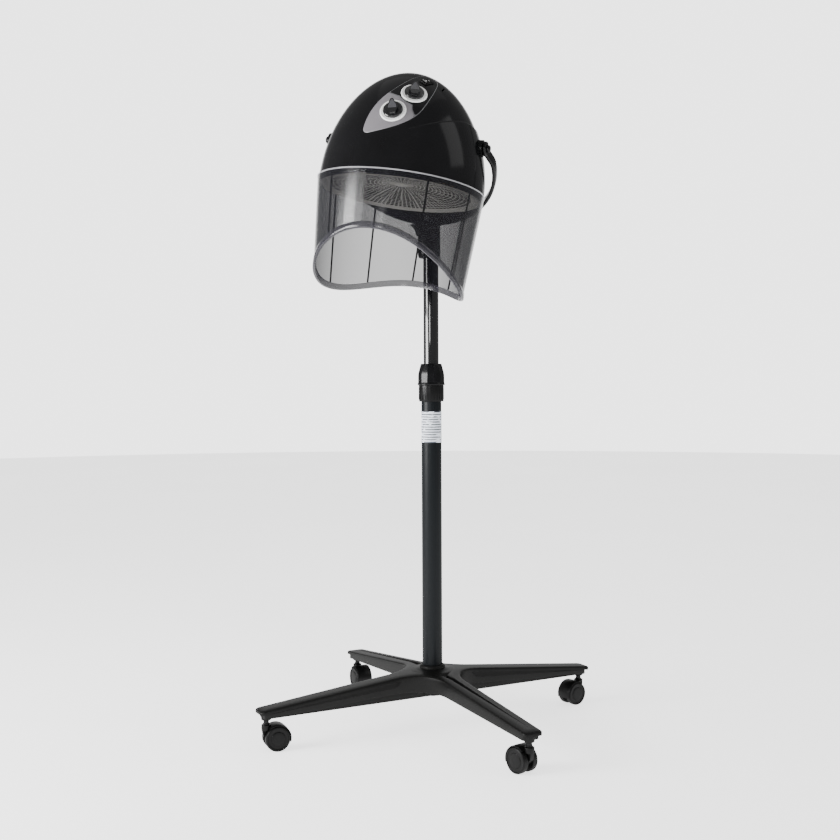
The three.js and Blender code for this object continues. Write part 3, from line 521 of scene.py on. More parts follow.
def make_collar():
    bm = bmesh.new()
    bottom = COLLAR_BOTTOM
    top = COLLAR_SPLIT - 0.2
    sleeve = [(21.35, bottom + 6), (21.35, bottom), (25.7, bottom), (26.2, bottom + 16)]
    sleeve += [(26.4, top), (20.5, top), (21.35, bottom + 6)]
    lathe(bm, rounded(sleeve, 0.4), 96)
    for k in range(24):
        turn = Matrix.Rotation(2 * math.pi * k / 24, 4, "Z")
        block(bm, (0.9, 1.6, 26), turn @ Matrix.Translation((26.1, 0, COLLAR_BOTTOM + 17)))
    piece("clamp_sleeve", bm, STAND, "base", satin_black, ["collar_sleeve"])
    bm = bmesh.new()
    # The nut: radius, height above the split, and how flat its twelve sides are there.
    nut = [
        (21.5, 0.1, 0),
        (28.4, 0.1, 0),
        (28.7, 0.4, 0),
        (28.7, 3.4, 0),
        (28.2, 4.6, 0.3),
        (28.3, 6.5, 1),
        (28.2, 20, 1),
        (27.8, 24, 1),
        (26.4, 30, 1),
        (22.8, 43, 1),
        (22.0, 44.4, 0.4),
        (20.8, 45, 0),
        (17.0, 44.6, 0),
        (16.7, 43, 0),
        (16.7, 37, 0),
        (21.5, 26, 0),
    ]
    faceted_lathe(bm, [(r, COLLAR_SPLIT + rise, flat) for r, rise, flat in nut], 12, 0.12, 240)
    piece("clamp_nut", bm, STAND, "nut", deep_black, ["collet_nut"], sharp=60)
    bm = bmesh.new()
    lathe(bm, rounded(tube_profile(MAST_BORE, MAST_RADIUS, MAST_BOTTOM, MAST_TOP), 0.3), 96)
    piece("upper_pole", bm, STAND, "mast", gloss_tube, ["upper_tube"])
    dress(cream, "collet_bush", "guide_bush")


# ---------------------------------------------------------------- castors
def sweep(bm, section, start, end, steps):
    """A closed (radius, y) section swept about the Y axis between two angles."""
    rings = []
    for k in range(steps + 1):
        a = math.radians(start + (end - start) * k / steps)
        rings.append([Vector((r * math.cos(a), y, r * math.sin(a))) for r, y in section])
    return loft(bm, rings)


def make_caster(index):
    name = f"caster_{index + 1}"
    leg = math.radians(LEG_ANGLES[index])
    place = (
        STAND
        @ Matrix.Translation((CASTER_REACH * math.cos(leg), CASTER_REACH * math.sin(leg), 0))
        @ Matrix.Rotation(math.radians(CASTER_YAW[index]), 4, "Z")
    )
    axle = Matrix.Translation((CASTER_TRAIL, 0, WHEEL_RADIUS))
    bm = bmesh.new()
    guard = [(25.7, -17.2), (27.2, -17.4), (28.0, -15), (28.3, 0)]
    guard += [(28.0, 15), (27.2, 17.4), (25.7, 17.2), (26.1, 0)]
    sweep(bm, guard, -16, 128, 30)
    bm.transform(axle)
    web = arc(CASTER_TRAIL, WHEEL_RADIUS, 27.4, 112, -14, 24)
    web += arc(CASTER_TRAIL, WHEEL_RADIUS, 17, -24, -150, 10)
    web += [(-6.5, 29), (-9.2, 45), (-8.2, 52)]
    lying = Matrix.Rotation(math.radians(90), 4, "X")
    prism(bm, web, -4.8, 4.8, lying)
    lathe(bm, rounded([(0, 41), (9.6, 41), (9.6, 53), (0, 53)], 1.6), 36)
    body = f"{name}_fork"
    fork = piece(f"{name}_guard", bm, place, body, wheel_black, [f"{name}_housing"], bevel=0.5)
    fork.modifiers["edges"].angle_limit = math.radians(50)
    bm = bmesh.new()
    stem = [(0, 50), (5.4, 50), (5.4, 53.4), (6.6, 53.4), (6.6, 55.2)]
    stem += [(5.4, 55.8), (5.4, 60.4), (6.4, 60.8), (6.4, 61.6), (0, 61.6)]
    lathe(bm, rounded(stem, 0.3), 36)
    piece(f"{name}_pin", bm, place, "base", deep_black, [f"{name}_stem"])
    dress(steel, f"{name}_axle")
    wheel = [
        (2.8, 6.4),
        (22.6, 6.4),
        (24.4, 6.7),
        (25, 7.8),
        (25, 16.2),
        (24.4, 17.8),
        (22.8, 18.8),
        (21.2, 18.9),
        (20.6, 17.4),
        (14.5, 17.0),
        (13.8, 18.2),
        (8, 18.6),
        (0, 18.7),
    ]
    for side, word in ((1, "left"), (-1, "right")):
        bm = bmesh.new()
        flip = Matrix.Rotation(math.radians(-90 * side), 4, "X")
        profile = [(0, 6.4)] + wheel
        lathe(bm, rounded(profile, 0.7, 3), 72, axle @ flip)
        piece(
            f"{name}_tyre_{word}",
            bm,
            place,
            f"{name}_left" if word == "left" else f"{name}_right",
            wheel_black,
            [f"{name}_wheel_{word}"],
        )


# ---------------------------------------------------------------- yoke
BULGE = 166
BULGE_AT = 42
PIVOT_HALF = 155.9
pivot_middle = Vector((0, -PIVOT_FORWARD, PIVOT_ABOVE))
back_middle = Vector((0, -33, 30))
slope = (back_middle - pivot_middle).normalized()
slope_length = (back_middle - pivot_middle).length
sideways = Vector((1, 0, 0))
bar_width = sideways.cross(slope).normalized()


def yoke_point(t):
    """The bar's centre line in the sloping plane, from a pivot at 0 to the neck at 1."""
    straight = 0.22
    if t < straight:
        k = t / straight
        ease = k * k * (3 - 2 * k)
        return PIVOT_HALF + (BULGE - PIVOT_HALF) * ease, BULGE_AT * k
    turn = (t - straight) / (1 - straight) * math.pi / 2
    return BULGE * math.cos(turn), BULGE_AT + (slope_length - BULGE_AT) * math.sin(turn)


def make_yoke():
    bm = bmesh.new()
    steps = 60
    stations = []
    for i in range(-steps, steps + 1):
        t = 1 - abs(i) / steps
        x, s = yoke_point(t)
        stations.append((math.copysign(x, i), s, t))
    rings = []
    for i, (x, s, t) in enumerate(stations):
        before = stations[max(0, i - 1)]
        after = stations[min(len(stations) - 1, i + 1)]
        tangent = Vector((after[0] - before[0], after[1] - before[1])).normalized()
        across = sideways * -tangent.y + slope * tangent.x
        centre = pivot_middle + sideways * x + slope * s
        half_width = (21 + 5 * max(0, t * 2 - 1)) / 2
        rise = 10 * smoothstep(t, 0.5, 1)
        half_thick = 4.0
        ring = []
        for k in range(24):
            a = 2 * math.pi * (k + 0.5) / 24
            u = math.copysign(abs(math.cos(a)) ** 0.45, math.cos(a)) * half_thick
            v = math.copysign(abs(math.sin(a)) ** 0.45, math.sin(a)) * half_width
            ring.append(centre + across * u + bar_width * (v + rise if v > 0 else v))
        rings.append(ring)
    loft(bm, rings)
    for side in (-1, 1):
        turn = Matrix.Translation(pivot_middle) @ Matrix.Rotation(math.radians(90 * side), 4, "Y")
        lathe(bm, rounded([(0, 152.3), (14, 152.3), (14, 159.6), (0, 159.6)], 1.6), 48, turn)
    tilt = slope.to_track_quat("Z", "Y").to_matrix().to_4x4()
    tilt.translation = back_middle
    lathe(bm, rounded([(0, 0), (15, 0), (15, 26), (0, 26)], 2), 48, tilt)
    bm.transform(Matrix.Translation((0, 0, SEAT_HEIGHT)) @ Matrix.Rotation(math.radians(CANT), 4, "Y"))
    neck = [(0, 1011), (16.7, 1011), (16.7, 985), (21.6, 985), (23.5, 991)]
    neck += [(23.5, 1068), (21.5, 1076), (14, 1081), (0, 1082)]
    lathe(bm, rounded(neck, 2.5, 5), 96, Matrix.Translation((-3.5, 0, 0)))
    flare = [(0, 1030), (22.5, 1030), (23.6, 1038), (26.5, 1045), (31, 1050), (38, 1054), (0, 1058)]
    lathe(bm, flare, 64, Matrix.Translation((-3.5, -20, 0)) @ Matrix.Diagonal((1, 0.45, 1, 1)))
    nodes = ["yoke_band", "yoke_neck"]
    arm = piece("yoke_arm", bm, STAND, "yoke", deep_black, nodes, sharp=180)
    arm.modifiers.new("skin", "REMESH").voxel_size = 0.0014
    arm.modifiers["skin"].use_smooth_shade = True
    smooth = arm.modifiers.new("soften", "SMOOTH")
    smooth.factor = 0.5
    smooth.iterations = 14
    for side, word in ((-1, "left"), (1, "right")):
        turn = Matrix.Rotation(math.radians(90 * side), 4, "Y")
        bm = bmesh.new()
        cap = [(0, 159.7), (7.2, 159.7), (7.4, 160.6), (7.2, 163.4), (5.4, 165.4), (0, 165.9)]
        lathe(bm, rounded(cap, 0.8), 48, turn)
        piece(f"hinge_cap_{word}", bm, HOOD, "yoke", deep_black, [f"pivot_cap_{word}"])
        bm = bmesh.new()
        lathe(bm, rounded([(0, 138), (15.2, 138), (15.2, 152), (0, 152)], 0.8), 64, turn)
        for k in range(28):
            a = 2 * math.pi * k / 28
            rib = Matrix.Rotation(a, 4, "Z") @ Matrix.Translation((15.3, 0, 145.5))
            block(bm, (1.3, 1.5, 12.6), turn @ rib)
        piece(f"hinge_disc_{word}", bm, HOOD, "hood", deep_black, [f"pivot_disc_{word}"])
    dress(steel, "neck_screw", "pivot_bolt_left", "pivot_bolt_right")


# ---------------------------------------------------------------- dome
def dome_radius(height, grow=0.0):
    share = min(1, max(0, height) / (DOME_HEIGHT + grow)) ** DOME_EXPONENT
    return (DOME_RADIUS + grow) * (1 - share) ** (1 / DOME_EXPONENT)


def dome_lean(r, height):
    """The outward and upward parts of the dome's normal there, not yet of unit length."""
    outward = (max(r, 1e-6) / DOME_RADIUS) ** (DOME_EXPONENT - 1) / DOME_RADIUS
    upward = (height / DOME_HEIGHT) ** (DOME_EXPONENT - 1) / DOME_HEIGHT
    return outward, upward


def smoothstep(value, low, high):
    t = min(1, max(0, (value - low) / (high - low)))
    return t * t * (3 - 2 * t)


CREASE = [(8, 64), (15, 73), (28.5, 89), (44, 105), (56, 113), (69, 120), (76, 121.5)]


def crease_height(azimuth):
    for (a0, h0), (a1, h1) in zip(CREASE, CREASE[1:]):
        if a0 <= azimuth <= a1:
            return h0 + (h1 - h0) * (azimuth - a0) / (a1 - a0)
    return CREASE[0][1] if azimuth < CREASE[0][0] else CREASE[-1][1]


def relief(azimuth, height):
    """How far the dome's surface stands out: a rear cover, and a soft step on the +X side."""
    rear = smoothstep(abs(azimuth), 74.6, 76.2) * (1 - smoothstep(height, 118.5, 121.5))
    side = 0.0
    if 8 < azimuth < 80:
        fade = smoothstep(azimuth, 10, 30)
        edge = crease_height(azimuth)
        side = fade * (1 - smoothstep(height, edge - 1.4, edge + 0.4))
    return max(2.4 * rear, 1.7 * side)


def dome_point(azimuth, height, grow=0.0):
    """A point on the dome, by degrees from straight ahead and height above the rim, moved out by grow."""
    a = math.radians(azimuth)
    r = dome_radius(height)
    nr, nz = dome_lean(r, height)
    scale = grow / math.hypot(nr, nz)
    out = r + nr * scale
    return Vector((out * math.sin(a), -out * math.cos(a), height + nz * scale - RIM_BELOW))


def dome_heights(steps):
    """Heights above the rim, closer together towards the top."""
    climb = [math.sin(k / steps * math.pi / 2) for k in range(steps + 1)]
    return [DOME_HEIGHT * share ** (2 / DOME_EXPONENT) for share in climb]


STEP_ROW = 95.0


def step_height(azimuth):
    """Where the row of vertices at STEP_ROW goes: along the crease and the rear cover's upper edge."""
    cover_top = 121.5
    if azimuth > 76 or azimuth < -76:
        return cover_top
    if azimuth >= 8:
        return crease_height(azimuth) + 0.4
    towards_crease = smoothstep(azimuth, -8, 8)
    towards_cover = 1 - smoothstep(azimuth, -76, -56)
    return (
        STEP_ROW
        + (crease_height(8) + 0.4 - STEP_ROW) * towards_crease
        + (cover_top - STEP_ROW) * towards_cover
    )


def bent_height(azimuth, height):
    target = step_height(azimuth)
    if height <= STEP_ROW:
        return height * target / STEP_ROW
    return target + (height - STEP_ROW) * (DOME_HEIGHT - target) / (DOME_HEIGHT - STEP_ROW)


def make_dome():
    bm = bmesh.new()
    turns = 300
    step_rows = [STEP_ROW + offset for offset in (-3.4, -2.2, -1.1, 0.0, 1.2)]
    heights = sorted(dome_heights(44)[:-1] + step_rows)
    cover_edges = {side * a for side in (-1, 1) for a in (74.8, 75.2, 75.6, 76.0)}
    azimuths = sorted({-180 + 360 * k / turns for k in range(turns)} | cover_edges)
    outer = []
    for height in heights:
        row = []
        for azimuth in azimuths:
            bent = bent_height(azimuth, height)
            row.append(dome_point(azimuth, bent, relief(azimuth, bent)))
        outer.append(row)
    spigot_low = [(SPIGOT_RADIUS, -RIM_BELOW - SPIGOT), (SPIGOT_RADIUS - 3, -RIM_BELOW - SPIGOT)]
    around = [(math.sin(math.radians(a)), -math.cos(math.radians(a))) for a in azimuths]
    rings = [[Vector((r * x, r * y, z)) for x, y in around] for r, z in spigot_low]
    inner = [[dome_point(az, h, -3) for az in azimuths] for h in dome_heights(16)[:-1]]
    rings = list(reversed(inner)) + list(reversed(rings)) + outer
    loft(bm, rings, cap_start=False, cap_end=False)
    verts = list(bm.verts)
    count = len(azimuths)
    top = bm.verts.new(Vector((0, 0, DOME_HEIGHT - RIM_BELOW)))
    under = bm.verts.new(Vector((0, 0, DOME_HEIGHT - RIM_BELOW - 3)))
    for k in range(count):
        n = (k + 1) % count
        bm.faces.new((verts[-count + k], verts[-count + n], top))
        bm.faces.new((verts[n], verts[k], under))
    dome = piece("dome", bm, HOOD, "hood", gloss_black, ["hood_shell"], sharp=180)
    cutter = bmesh.new()
    for row in (0, 1):
        for place in (-2, -1, 0, 1, 2):
            block(cutter, (12, 5, 24), on_dome(180 + place * 10, 116 + row * 14))
    block(cutter, (18, 3, 12), on_dome(56, 177) @ Matrix.Rotation(math.radians(48), 4, "Z"))
    cutter.transform(METRES @ HOOD)
    helper = add_object("vent_cutter", mesh_from("vent_cutter", cutter))
    boolean = dome.modifiers.new("vents", "BOOLEAN")
    boolean.object = helper
    boolean.solver = "EXACT"
    bpy.context.view_layer.update()
    evaluated = dome.evaluated_get(bpy.context.evaluated_depsgraph_get())
    cut_mesh = bpy.data.meshes.new_from_object(evaluated)
    dome.modifiers.clear()
    dome.data = cut_mesh
    bpy.data.objects.remove(helper)
    return dome


def on_dome(azimuth, height, turn=0):
    """A frame on the dome: Z along the outward normal, X to the right and Y up the meridian."""
    a = math.radians(azimuth)
    r = dome_radius(height)
    outwards = Vector((math.sin(a), -math.cos(a), 0))
    nr, nz = dome_lean(r, height)
    z = (outwards * nr + Vector((0, 0, nz))).normalized()
    x = Vector((math.cos(a), math.sin(a), 0))
    y = z.cross(x)
    matrix = Matrix((x, y, z)).transposed().to_4x4()
    matrix.translation = outwards * r + Vector((0, 0, height - RIM_BELOW))
    return matrix @ Matrix.Rotation(math.radians(turn), 4, "Z")


PANEL = on_dome(11.5, 131, 90 - 33.2)
TIMER = on_dome(4.8, 110)
HEAT = on_dome(19.6, 151.7)
ROCKER = on_dome(34, 184, 38)


# ---------------------------------------------------------------- control panel
def bezier(points, steps):
    """Points on a Bezier curve with one or two handles, without its first point."""
    out = []
    for k in range(1, steps + 1):
        level = [Vector(p) for p in points]
        t = k / steps
        while len(level) > 1:
            level = [a.lerp(b, t) for a, b in zip(level, level[1:])]
        out.append(tuple(level[0]))
    return out


def leaf_outline():
    points = []
    points += bezier([(-86, 10), (-90, 20), (-82, 25)], 8)
    points += bezier([(-82, 25), (-45, 45), (-10, 41), (20, 37.5)], 20)
    points += bezier([(20, 37.5), (50, 34.5), (80, 40), (98, 32)], 18)
    points += bezier([(98, 32), (108, 25), (100, 6)], 10)
    points += bezier([(100, 6), (85, -12), (40, -30), (10, -37)], 20)
    points += bezier([(10, -37), (-25, -44), (-60, -25), (-86, 10)], 24)
    return points


def border_x(y):
    """The x at which the grey part ends and the black part starts, for a height y across the leaf."""
    nodes = [(-60, -14), (-38, -12), (-24, -4), (-17, 4), (0, 2), (16, 5), (24, 3), (60, 0)]
    for (y0, x0), (y1, x1) in zip(nodes, nodes[1:]):
        if y0 <= y <= y1:
            t = (y - y0) / (y1 - y0)
            return x0 + (x1 - x0) * t
    return 0.0


def inset(outline, distance):
    """The outline moved inwards along its own normals; the outline runs clockwise or anticlockwise."""
    area = sum(a[0] * b[1] - b[0] * a[1] for a, b in zip(outline, outline[1:] + outline[:1]))
    side = 1 if area > 0 else -1
    count = len(outline)
    moved = []
    for k, here in enumerate(outline):
        along = (Vector(outline[(k + 1) % count]) - Vector(outline[k - 1])).normalized()
        moved.append((here[0] - along.y * side * distance, here[1] + along.x * side * distance))
    return moved


def part_of_leaf(grey, gap):
    """The outline of the leaf's grey or black part."""
    leaf = inset(leaf_outline(), gap)
    count = len(leaf)
    belongs = [(x < border_x(y)) == grey for x, y in leaf]
    k = next(k for k in range(count) if belongs[k] and not belongs[k - 1])
    kept = []
    while belongs[k % count]:
        kept.append(leaf[k % count])
        k += 1
    shift = -gap if grey else gap
    leaves = kept[-1][1]
    returns = kept[0][1]
    steps = 30
    for step in range(1, steps):
        y = leaves + (returns - leaves) * step / steps
        kept.append((border_x(y) + shift, y))
    return kept


def ray_to_dome(x, y, grow):
    """The point of the dome over (x, y) of the panel's plane, moved out by grow."""
    start = PANEL @ Vector((x, y, 40))
    direction = (PANEL.to_3x3() @ Vector((0, 0, -1))).normalized()

    def outside(t):
        p = start + direction * t
        r = math.hypot(p.x, p.y) / DOME_RADIUS
        h = max(0, p.z + RIM_BELOW) / DOME_HEIGHT
        return r**DOME_EXPONENT + h**DOME_EXPONENT - 1

    low, high = 0.0, 90.0
    for _ in range(36):
        middle = (low + high) / 2
        if outside(middle) > 0:
            low = middle
        else:
            high = middle
    p = start + direction * low
    a = math.degrees(math.atan2(p.x, -p.y))
    return dome_point(a, p.z + RIM_BELOW, grow)


def patch(name, outline, proud, material, nodes):
    """A plate that follows the dome inside an outline of the panel's plane, with soft edges."""
    rims = [(0.0, -0.4), (0.15, proud - 0.35), (0.55, proud - 0.08), (1.1, proud)]
    points = []
    lifts = []
    edges = []
    for distance, lift in rims:
        ring = inset(outline, distance)
        base = len(points)
        points += [Vector(p) for p in ring]
        lifts += [lift] * len(ring)
        edges += [(base + k, base + (k + 1) % len(ring)) for k in range(len(ring))]
    inner = inset(outline, 2.6)
    xs = [p[0] for p in outline]
    ys = [p[1] for p in outline]
    pitch = 3.5
    x = min(xs)
    while x < max(xs):
        y = min(ys)
        while y < max(ys):
            if inside(x, y, inner):
                points.append(Vector((x, y)))
                lifts.append(proud)
            y += pitch
        x += pitch
    verts, _, faces, origins, _, _ = delaunay_2d_cdt(points, edges, [list(range(len(outline)))], 1, 1e-5)
    bm = bmesh.new()
    top = []
    bottom = []
    for v, source in zip(verts, origins):
        lift = lifts[source[0]] if source else proud
        top.append(bm.verts.new(ray_to_dome(v.x, v.y, lift)))
        bottom.append(bm.verts.new(ray_to_dome(v.x, v.y, -2.4)))
    used = {}
    for face in faces:
        bm.faces.new([top[i] for i in face])
        bm.faces.new([bottom[i] for i in reversed(face)])
        for a, b in zip(face, face[1:] + face[:1]):
            used[(a, b)] = True
    for a, b in used:
        if (b, a) not in used:
            bm.faces.new((top[b], top[a], bottom[a], bottom[b]))
    for v in [v for v in bm.verts if not v.link_faces]:
        bm.verts.remove(v)
    return piece(name, bm, HOOD, "hood", material, nodes, sharp=60)


def inside(x, y, outline):
    hit = False
    count = len(outline)
    for k in range(count):
        x0, y0 = outline[k]
        x1, y1 = outline[(k + 1) % count]
        if (y0 > y) != (y1 > y) and x < x0 + (y - y0) / (y1 - y0) * (x1 - x0):
            hit = not hit
    return hit


def make_panel():
    patch("panel_trim", leaf_outline(), 0.35, trim_grey, ())
    patch("panel_lower", part_of_leaf(True, 0.5), 0.8, silver_grey, ["panel_grey"])
    patch("panel_upper", part_of_leaf(False, 1.3), 0.8, gloss_black, ["panel_black"])


def make_dial(name, place, turn, marks):
    bm = bmesh.new()
    plate = [(0, -3.4), (24.3, -3.4), (24.3, 0.2), (23.6, 1.1), (22.4, 1.3), (19.4, 0.8), (0, 0.8)]
    lathe(bm, rounded(plate, 0.6), 96, place)
    piece(f"{name}_ring", bm, HOOD, "hood", dial_white, [f"{name}_dial_plate"], sharp=50)
    bm = bmesh.new()
    for k in range(marks):
        a = math.radians(-140 + 280 * k / (marks - 1))
        length = 2.4 if k % 3 == 0 else 1.4
        tick = Matrix.Rotation(-a, 4, "Z") @ Matrix.Translation((0, 21.4, 1.02))
        block(bm, (0.45, length, 0.5), place @ tick)
    piece(f"{name}_marks", bm, HOOD, "hood", mark_and_sheen_grey, ())
    knob = place @ Matrix.Rotation(math.radians(turn), 4, "Z")
    bm = bmesh.new()
    skirt = [(0, 1.35), (18.6, 1.35), (18.3, 4.2), (16.4, 6.0), (13.0, 6.4), (0, 6.1)]
    lathe(bm, rounded(skirt, 0.9), 96, knob)
    grip = [(-14, -5), (-3, -10.5), (3, -9.5), (18.2, -2.2), (18.2, 2.2), (3, 9.5), (-3, 10.5), (-14, 5)]
    prism(bm, grip, 4, 13, knob)
    piece(f"{name}_handle", bm, HOOD, f"{name}_dial", knob_black, [f"{name}_knob"], bevel=1.1)
    bm = bmesh.new()
    # A thin grey plate over the grip's top face: painted sheen, standing in for the light that face reflects.
    arrow = [(-3.5, -7.6), (2.5, -7.0), (15.6, -1.2), (15.6, 1.2), (2.5, 7.0), (-3.5, 7.6)]
    prism(bm, arrow, 12.9, 13.2, knob)
    piece(f"{name}_painted_sheen", bm, HOOD, f"{name}_dial", mark_and_sheen_grey, ())


def make_switch():
    bm = bmesh.new()
    for x, y, dx, dy in ((0, 7.5, 23, 2), (0, -7.5, 23, 2), (10.4, 0, 2.2, 13.4), (-10.4, 0, 2.2, 13.4)):
        block(bm, (dx, dy, 5.2), ROCKER @ Matrix.Translation((x, y, 0.4)))
    piece("switch_frame", bm, HOOD, "hood", satin_black, ["switch_bezel"], bevel=0.5)
    bm = bmesh.new()
    outline = [(7.9, 0), (7.9, 4.9), (4, 3.6), (0, 2.9), (-4, 3.6), (-7.9, 4.9), (-7.9, 0)]
    outline += arc(0, 0, 7.9, 180, 360, 20)[1:-1]
    lying = Matrix.Rotation(math.radians(90), 4, "X")
    press = Matrix.Rotation(math.radians(8), 4, "Y")
    prism(bm, outline, -5.3, 5.3, ROCKER @ press @ lying)
    piece("switch_rocker", bm, HOOD, "switch", gloss_black, ["rocker_switch"], bevel=0.5)
    bm = bmesh.new()
    ring_body(bm, 1.8, 1.2, 4.0, 4.6, 32, 0.1, ROCKER @ press @ Matrix.Translation((-4.6, 0, -0.2)))
    block(bm, (0.5, 3.2, 0.5), ROCKER @ press @ Matrix.Translation((4.6, 0, 4.0)))
    piece("switch_marks", bm, HOOD, "switch", dial_white, ())


# ---------------------------------------------------------------- grille
GRILLE_EDGE = -RIM_BELOW - SPIGOT - 0.3
GRILLE_RISE = 19


def grille_height(r):
    return GRILLE_EDGE - 1.3 + GRILLE_RISE * max(0, 1 - (r / 150) ** 2)


def make_grille():
    bm = bmesh.new()
    hub = 13.0
    pitch = 7.7
    web = 2.2
    radii = [0.0, hub]
    r = hub
    while r < 136:
        radii += [r + web, r + pitch]
        r += pitch
    solid_from = r
    radii += [146.0, 150.0, 155.0]
    radii = sorted({round(v, 3) for v in radii})
    sectors = 384
    rings = []
    for radius in radii[1:]:
        ring = []
        for k in range(sectors):
            a = 2 * math.pi * k / sectors
            point = Vector((radius * math.cos(a), radius * math.sin(a), grille_height(radius)))
            ring.append(bm.verts.new(point))
        rings.append(ring)
    centre = bm.verts.new(Vector((0, 0, grille_height(0))))
    for k in range(sectors):
        bm.faces.new((centre, rings[0][k], rings[0][(k + 1) % sectors]))
    for index, (low, high) in enumerate(zip(rings, rings[1:])):
        inner_radius = radii[index + 1]
        slot_row = index % 2 == 1 and inner_radius < solid_from
        group = 4 if inner_radius > 100 else 6 if inner_radius > 60 else 8 if inner_radius > 30 else 16
        for k in range(sectors):
            if slot_row and k % group >= (1 if inner_radius > 60 else 2):
                continue
            n = (k + 1) % sectors
            bm.faces.new((low[k], high[k], high[n], low[n]))
    obj = piece("air_grille", bm, HOOD, "hood", grille_grey, ["grille"], sharp=40)
    # The slot walls and edges from the thickness below get deep black: painted shade in the grille's slots.
    obj.data.materials.append(deep_black)
    solid = obj.modifiers.new("thickness", "SOLIDIFY")
    solid.thickness = 0.0016
    solid.offset = 0
    solid.material_offset_rim = 1
    bm = bmesh.new()
    for radius in (145, 150):
        top = grille_height(radius)
        ring_body(bm, radius + 0.8, radius - 0.8, top - 1.6, top, 144, 0.4)
    rib = [(-0.7, 0), (-0.4, -0.9), (0.4, -0.9), (0.7, 0)]
    for k in range(24):
        turn = Matrix.Rotation(math.radians(15 * k + 1.25), 4, "Z")
        rings = []
        for step in range(16):
            radius = 12 + (134 - 12) * step / 15
            z = grille_height(radius)
            rings.append([turn @ Vector((radius, y, z + dz)) for y, dz in rib])
        loft(bm, rings)
    ring_body(bm, 14, 2, grille_height(0) - 2.6, grille_height(0), 64, 0.8)
    piece("grille_ribs", bm, HOOD, "hood", grille_grey, ())


# ---------------------------------------------------------------- visor
VISOR_RADIUS = 160.5
VISOR_TAPER = 0.085


def visor_depth(from_front):
    if from_front <= 107:
        return 110 + 90 * (1 - math.cos(math.pi * from_front / 107)) / 2
    return 200 - 32 * (1 - math.cos(math.pi * (from_front - 107) / 73)) / 2


def visor_ring(azimuth, points):
    a = math.radians(azimuth)
    return [Vector((r * math.sin(a), -r * math.cos(a), -RIM_BELOW - d)) for r, d in points]


def visor_out(d):
    return VISOR_RADIUS - VISOR_TAPER * d


def make_visor():
    turns = [-180 + 360 * k / 180 for k in range(180)]
    wall = []
    lip = []
    bead = []
    for az in turns:
        depth = visor_depth(abs(az))
        top = 3.3
        low = depth - 13
        steps = 10
        depths = [top + (low - top) * k / steps for k in range(steps + 1)]
        outer = [(visor_out(d), d) for d in depths]
        inner = [(r - 2.6, d) for r, d in reversed(outer)]
        wall.append(visor_ring(az, outer + inner))
        out = visor_out(depth)
        section = [
            (out - 2.8, depth - 12.8),
            (out + 1.3, depth - 12.8),
            (out + 2.6, depth - 11.2),
            (out + 2.4, depth - 2.2),
            (out + 1.4, depth - 0.6),
            (out - 0.6, depth - 0.1),
            (out - 3.0, depth - 0.6),
            (out - 3.4, depth - 3.0),
        ]
        lip.append(visor_ring(az, section))
        # The bead along the top rim; its light grey material is a painted highlight.
        rim = [
            (visor_out(0) - 2.6, 1.2),
            (visor_out(0) - 1.6, 0.5),
            (visor_out(0) + 0.2, 0.5),
            (visor_out(0) + 0.9, 1.2),
            (visor_out(2) + 0.9, 2.0),
            (visor_out(3) + 0.3, 2.8),
            (visor_out(3), 3.1),
            (visor_out(3) - 2.6, 3.1),
        ]
        bead.append(visor_ring(az, rim))
    for name, rings, material, nodes in (
        ("visor_wall", wall, smoke, ["visor"]),
        ("visor_lip", lip, smoke_lip, ()),
        ("visor_rim", bead, rim_painted_highlight, ()),
    ):
        bm = bmesh.new()
        loft(bm, rings + [rings[0]], cap_start=False, cap_end=False)
        bmesh.ops.remove_doubles(bm, verts=bm.verts, dist=1e-4)
        piece(name, bm, HOOD, "hood", material, nodes, sharp=50)
    bm = bmesh.new()
    for az in (-144, -108, -72, -36, 36, 72, 108, 144, 180):
        depth = visor_depth(abs(az))
        half = 0.62
        rings = []
        for k in range(13):
            d = 7 + (depth - 13 - 7) * k / 12
            r = visor_out(d)
            near = visor_ring(az - half, [(r - 2.3, d), (r - 0.4, d)])
            far = visor_ring(az + half, [(r - 0.4, d), (r - 2.3, d)])
            rings.append(near + far)
        loft(bm, rings)
    piece("visor_seams", bm, HOOD, "hood", smoke_seam, ())


make_base()
make_column()
make_collar()
for index in range(4):
    make_caster(index)
make_yoke()
make_dome()
make_panel()
make_dial("timer", TIMER, 104, 25)
make_dial("heat", HEAT, 90, 19)
make_switch()
make_grille()
make_visor()
dress(steel, "timer_body", "thermostat_body")
dress(brushed, "motor", "heater_coil")
dress(satin_black, "impeller", "cable_gland", "fan_deck")
dress(mica, "heater_frame")
dress(cream, "thermal_cutout")


# ---------------------------------------------------------------- floor, light and camera
VIEW_AZIMUTH = 17
ROOM_LIGHT = 0.55
WALL_LIGHT = 3.2

# Each light: its name, its place and what it points at in metres, its width and height, and its power.
LIGHTS = [
    ("left_soft", (-2.14, -1.97, 1.40), (0, -0.1, 1.1), (2.0, 0.5), 28),
    ("left_bright", (-2.1, -1.93, 1.43), (0, -0.1, 1.1), (0.8, 0.4), 38),
    ("left_low", (-2.07, -1.69, 0.95), (0, 0.05, 0.95), (1.7, 0.38), 80),
    ("front_low", (-0.14, -2.75, 1.13), (0, 0, 0.95), (0.35, 0.26), 10),
    ("right_high", (2.7, 0.3, 2.7), (0, 0, 1.2), (1.3, 1.8), 15),
    ("top_bank", (0.0, 0.6, 4.4), (0, 0, 0.3), (3.4, 3.0), 12),
]


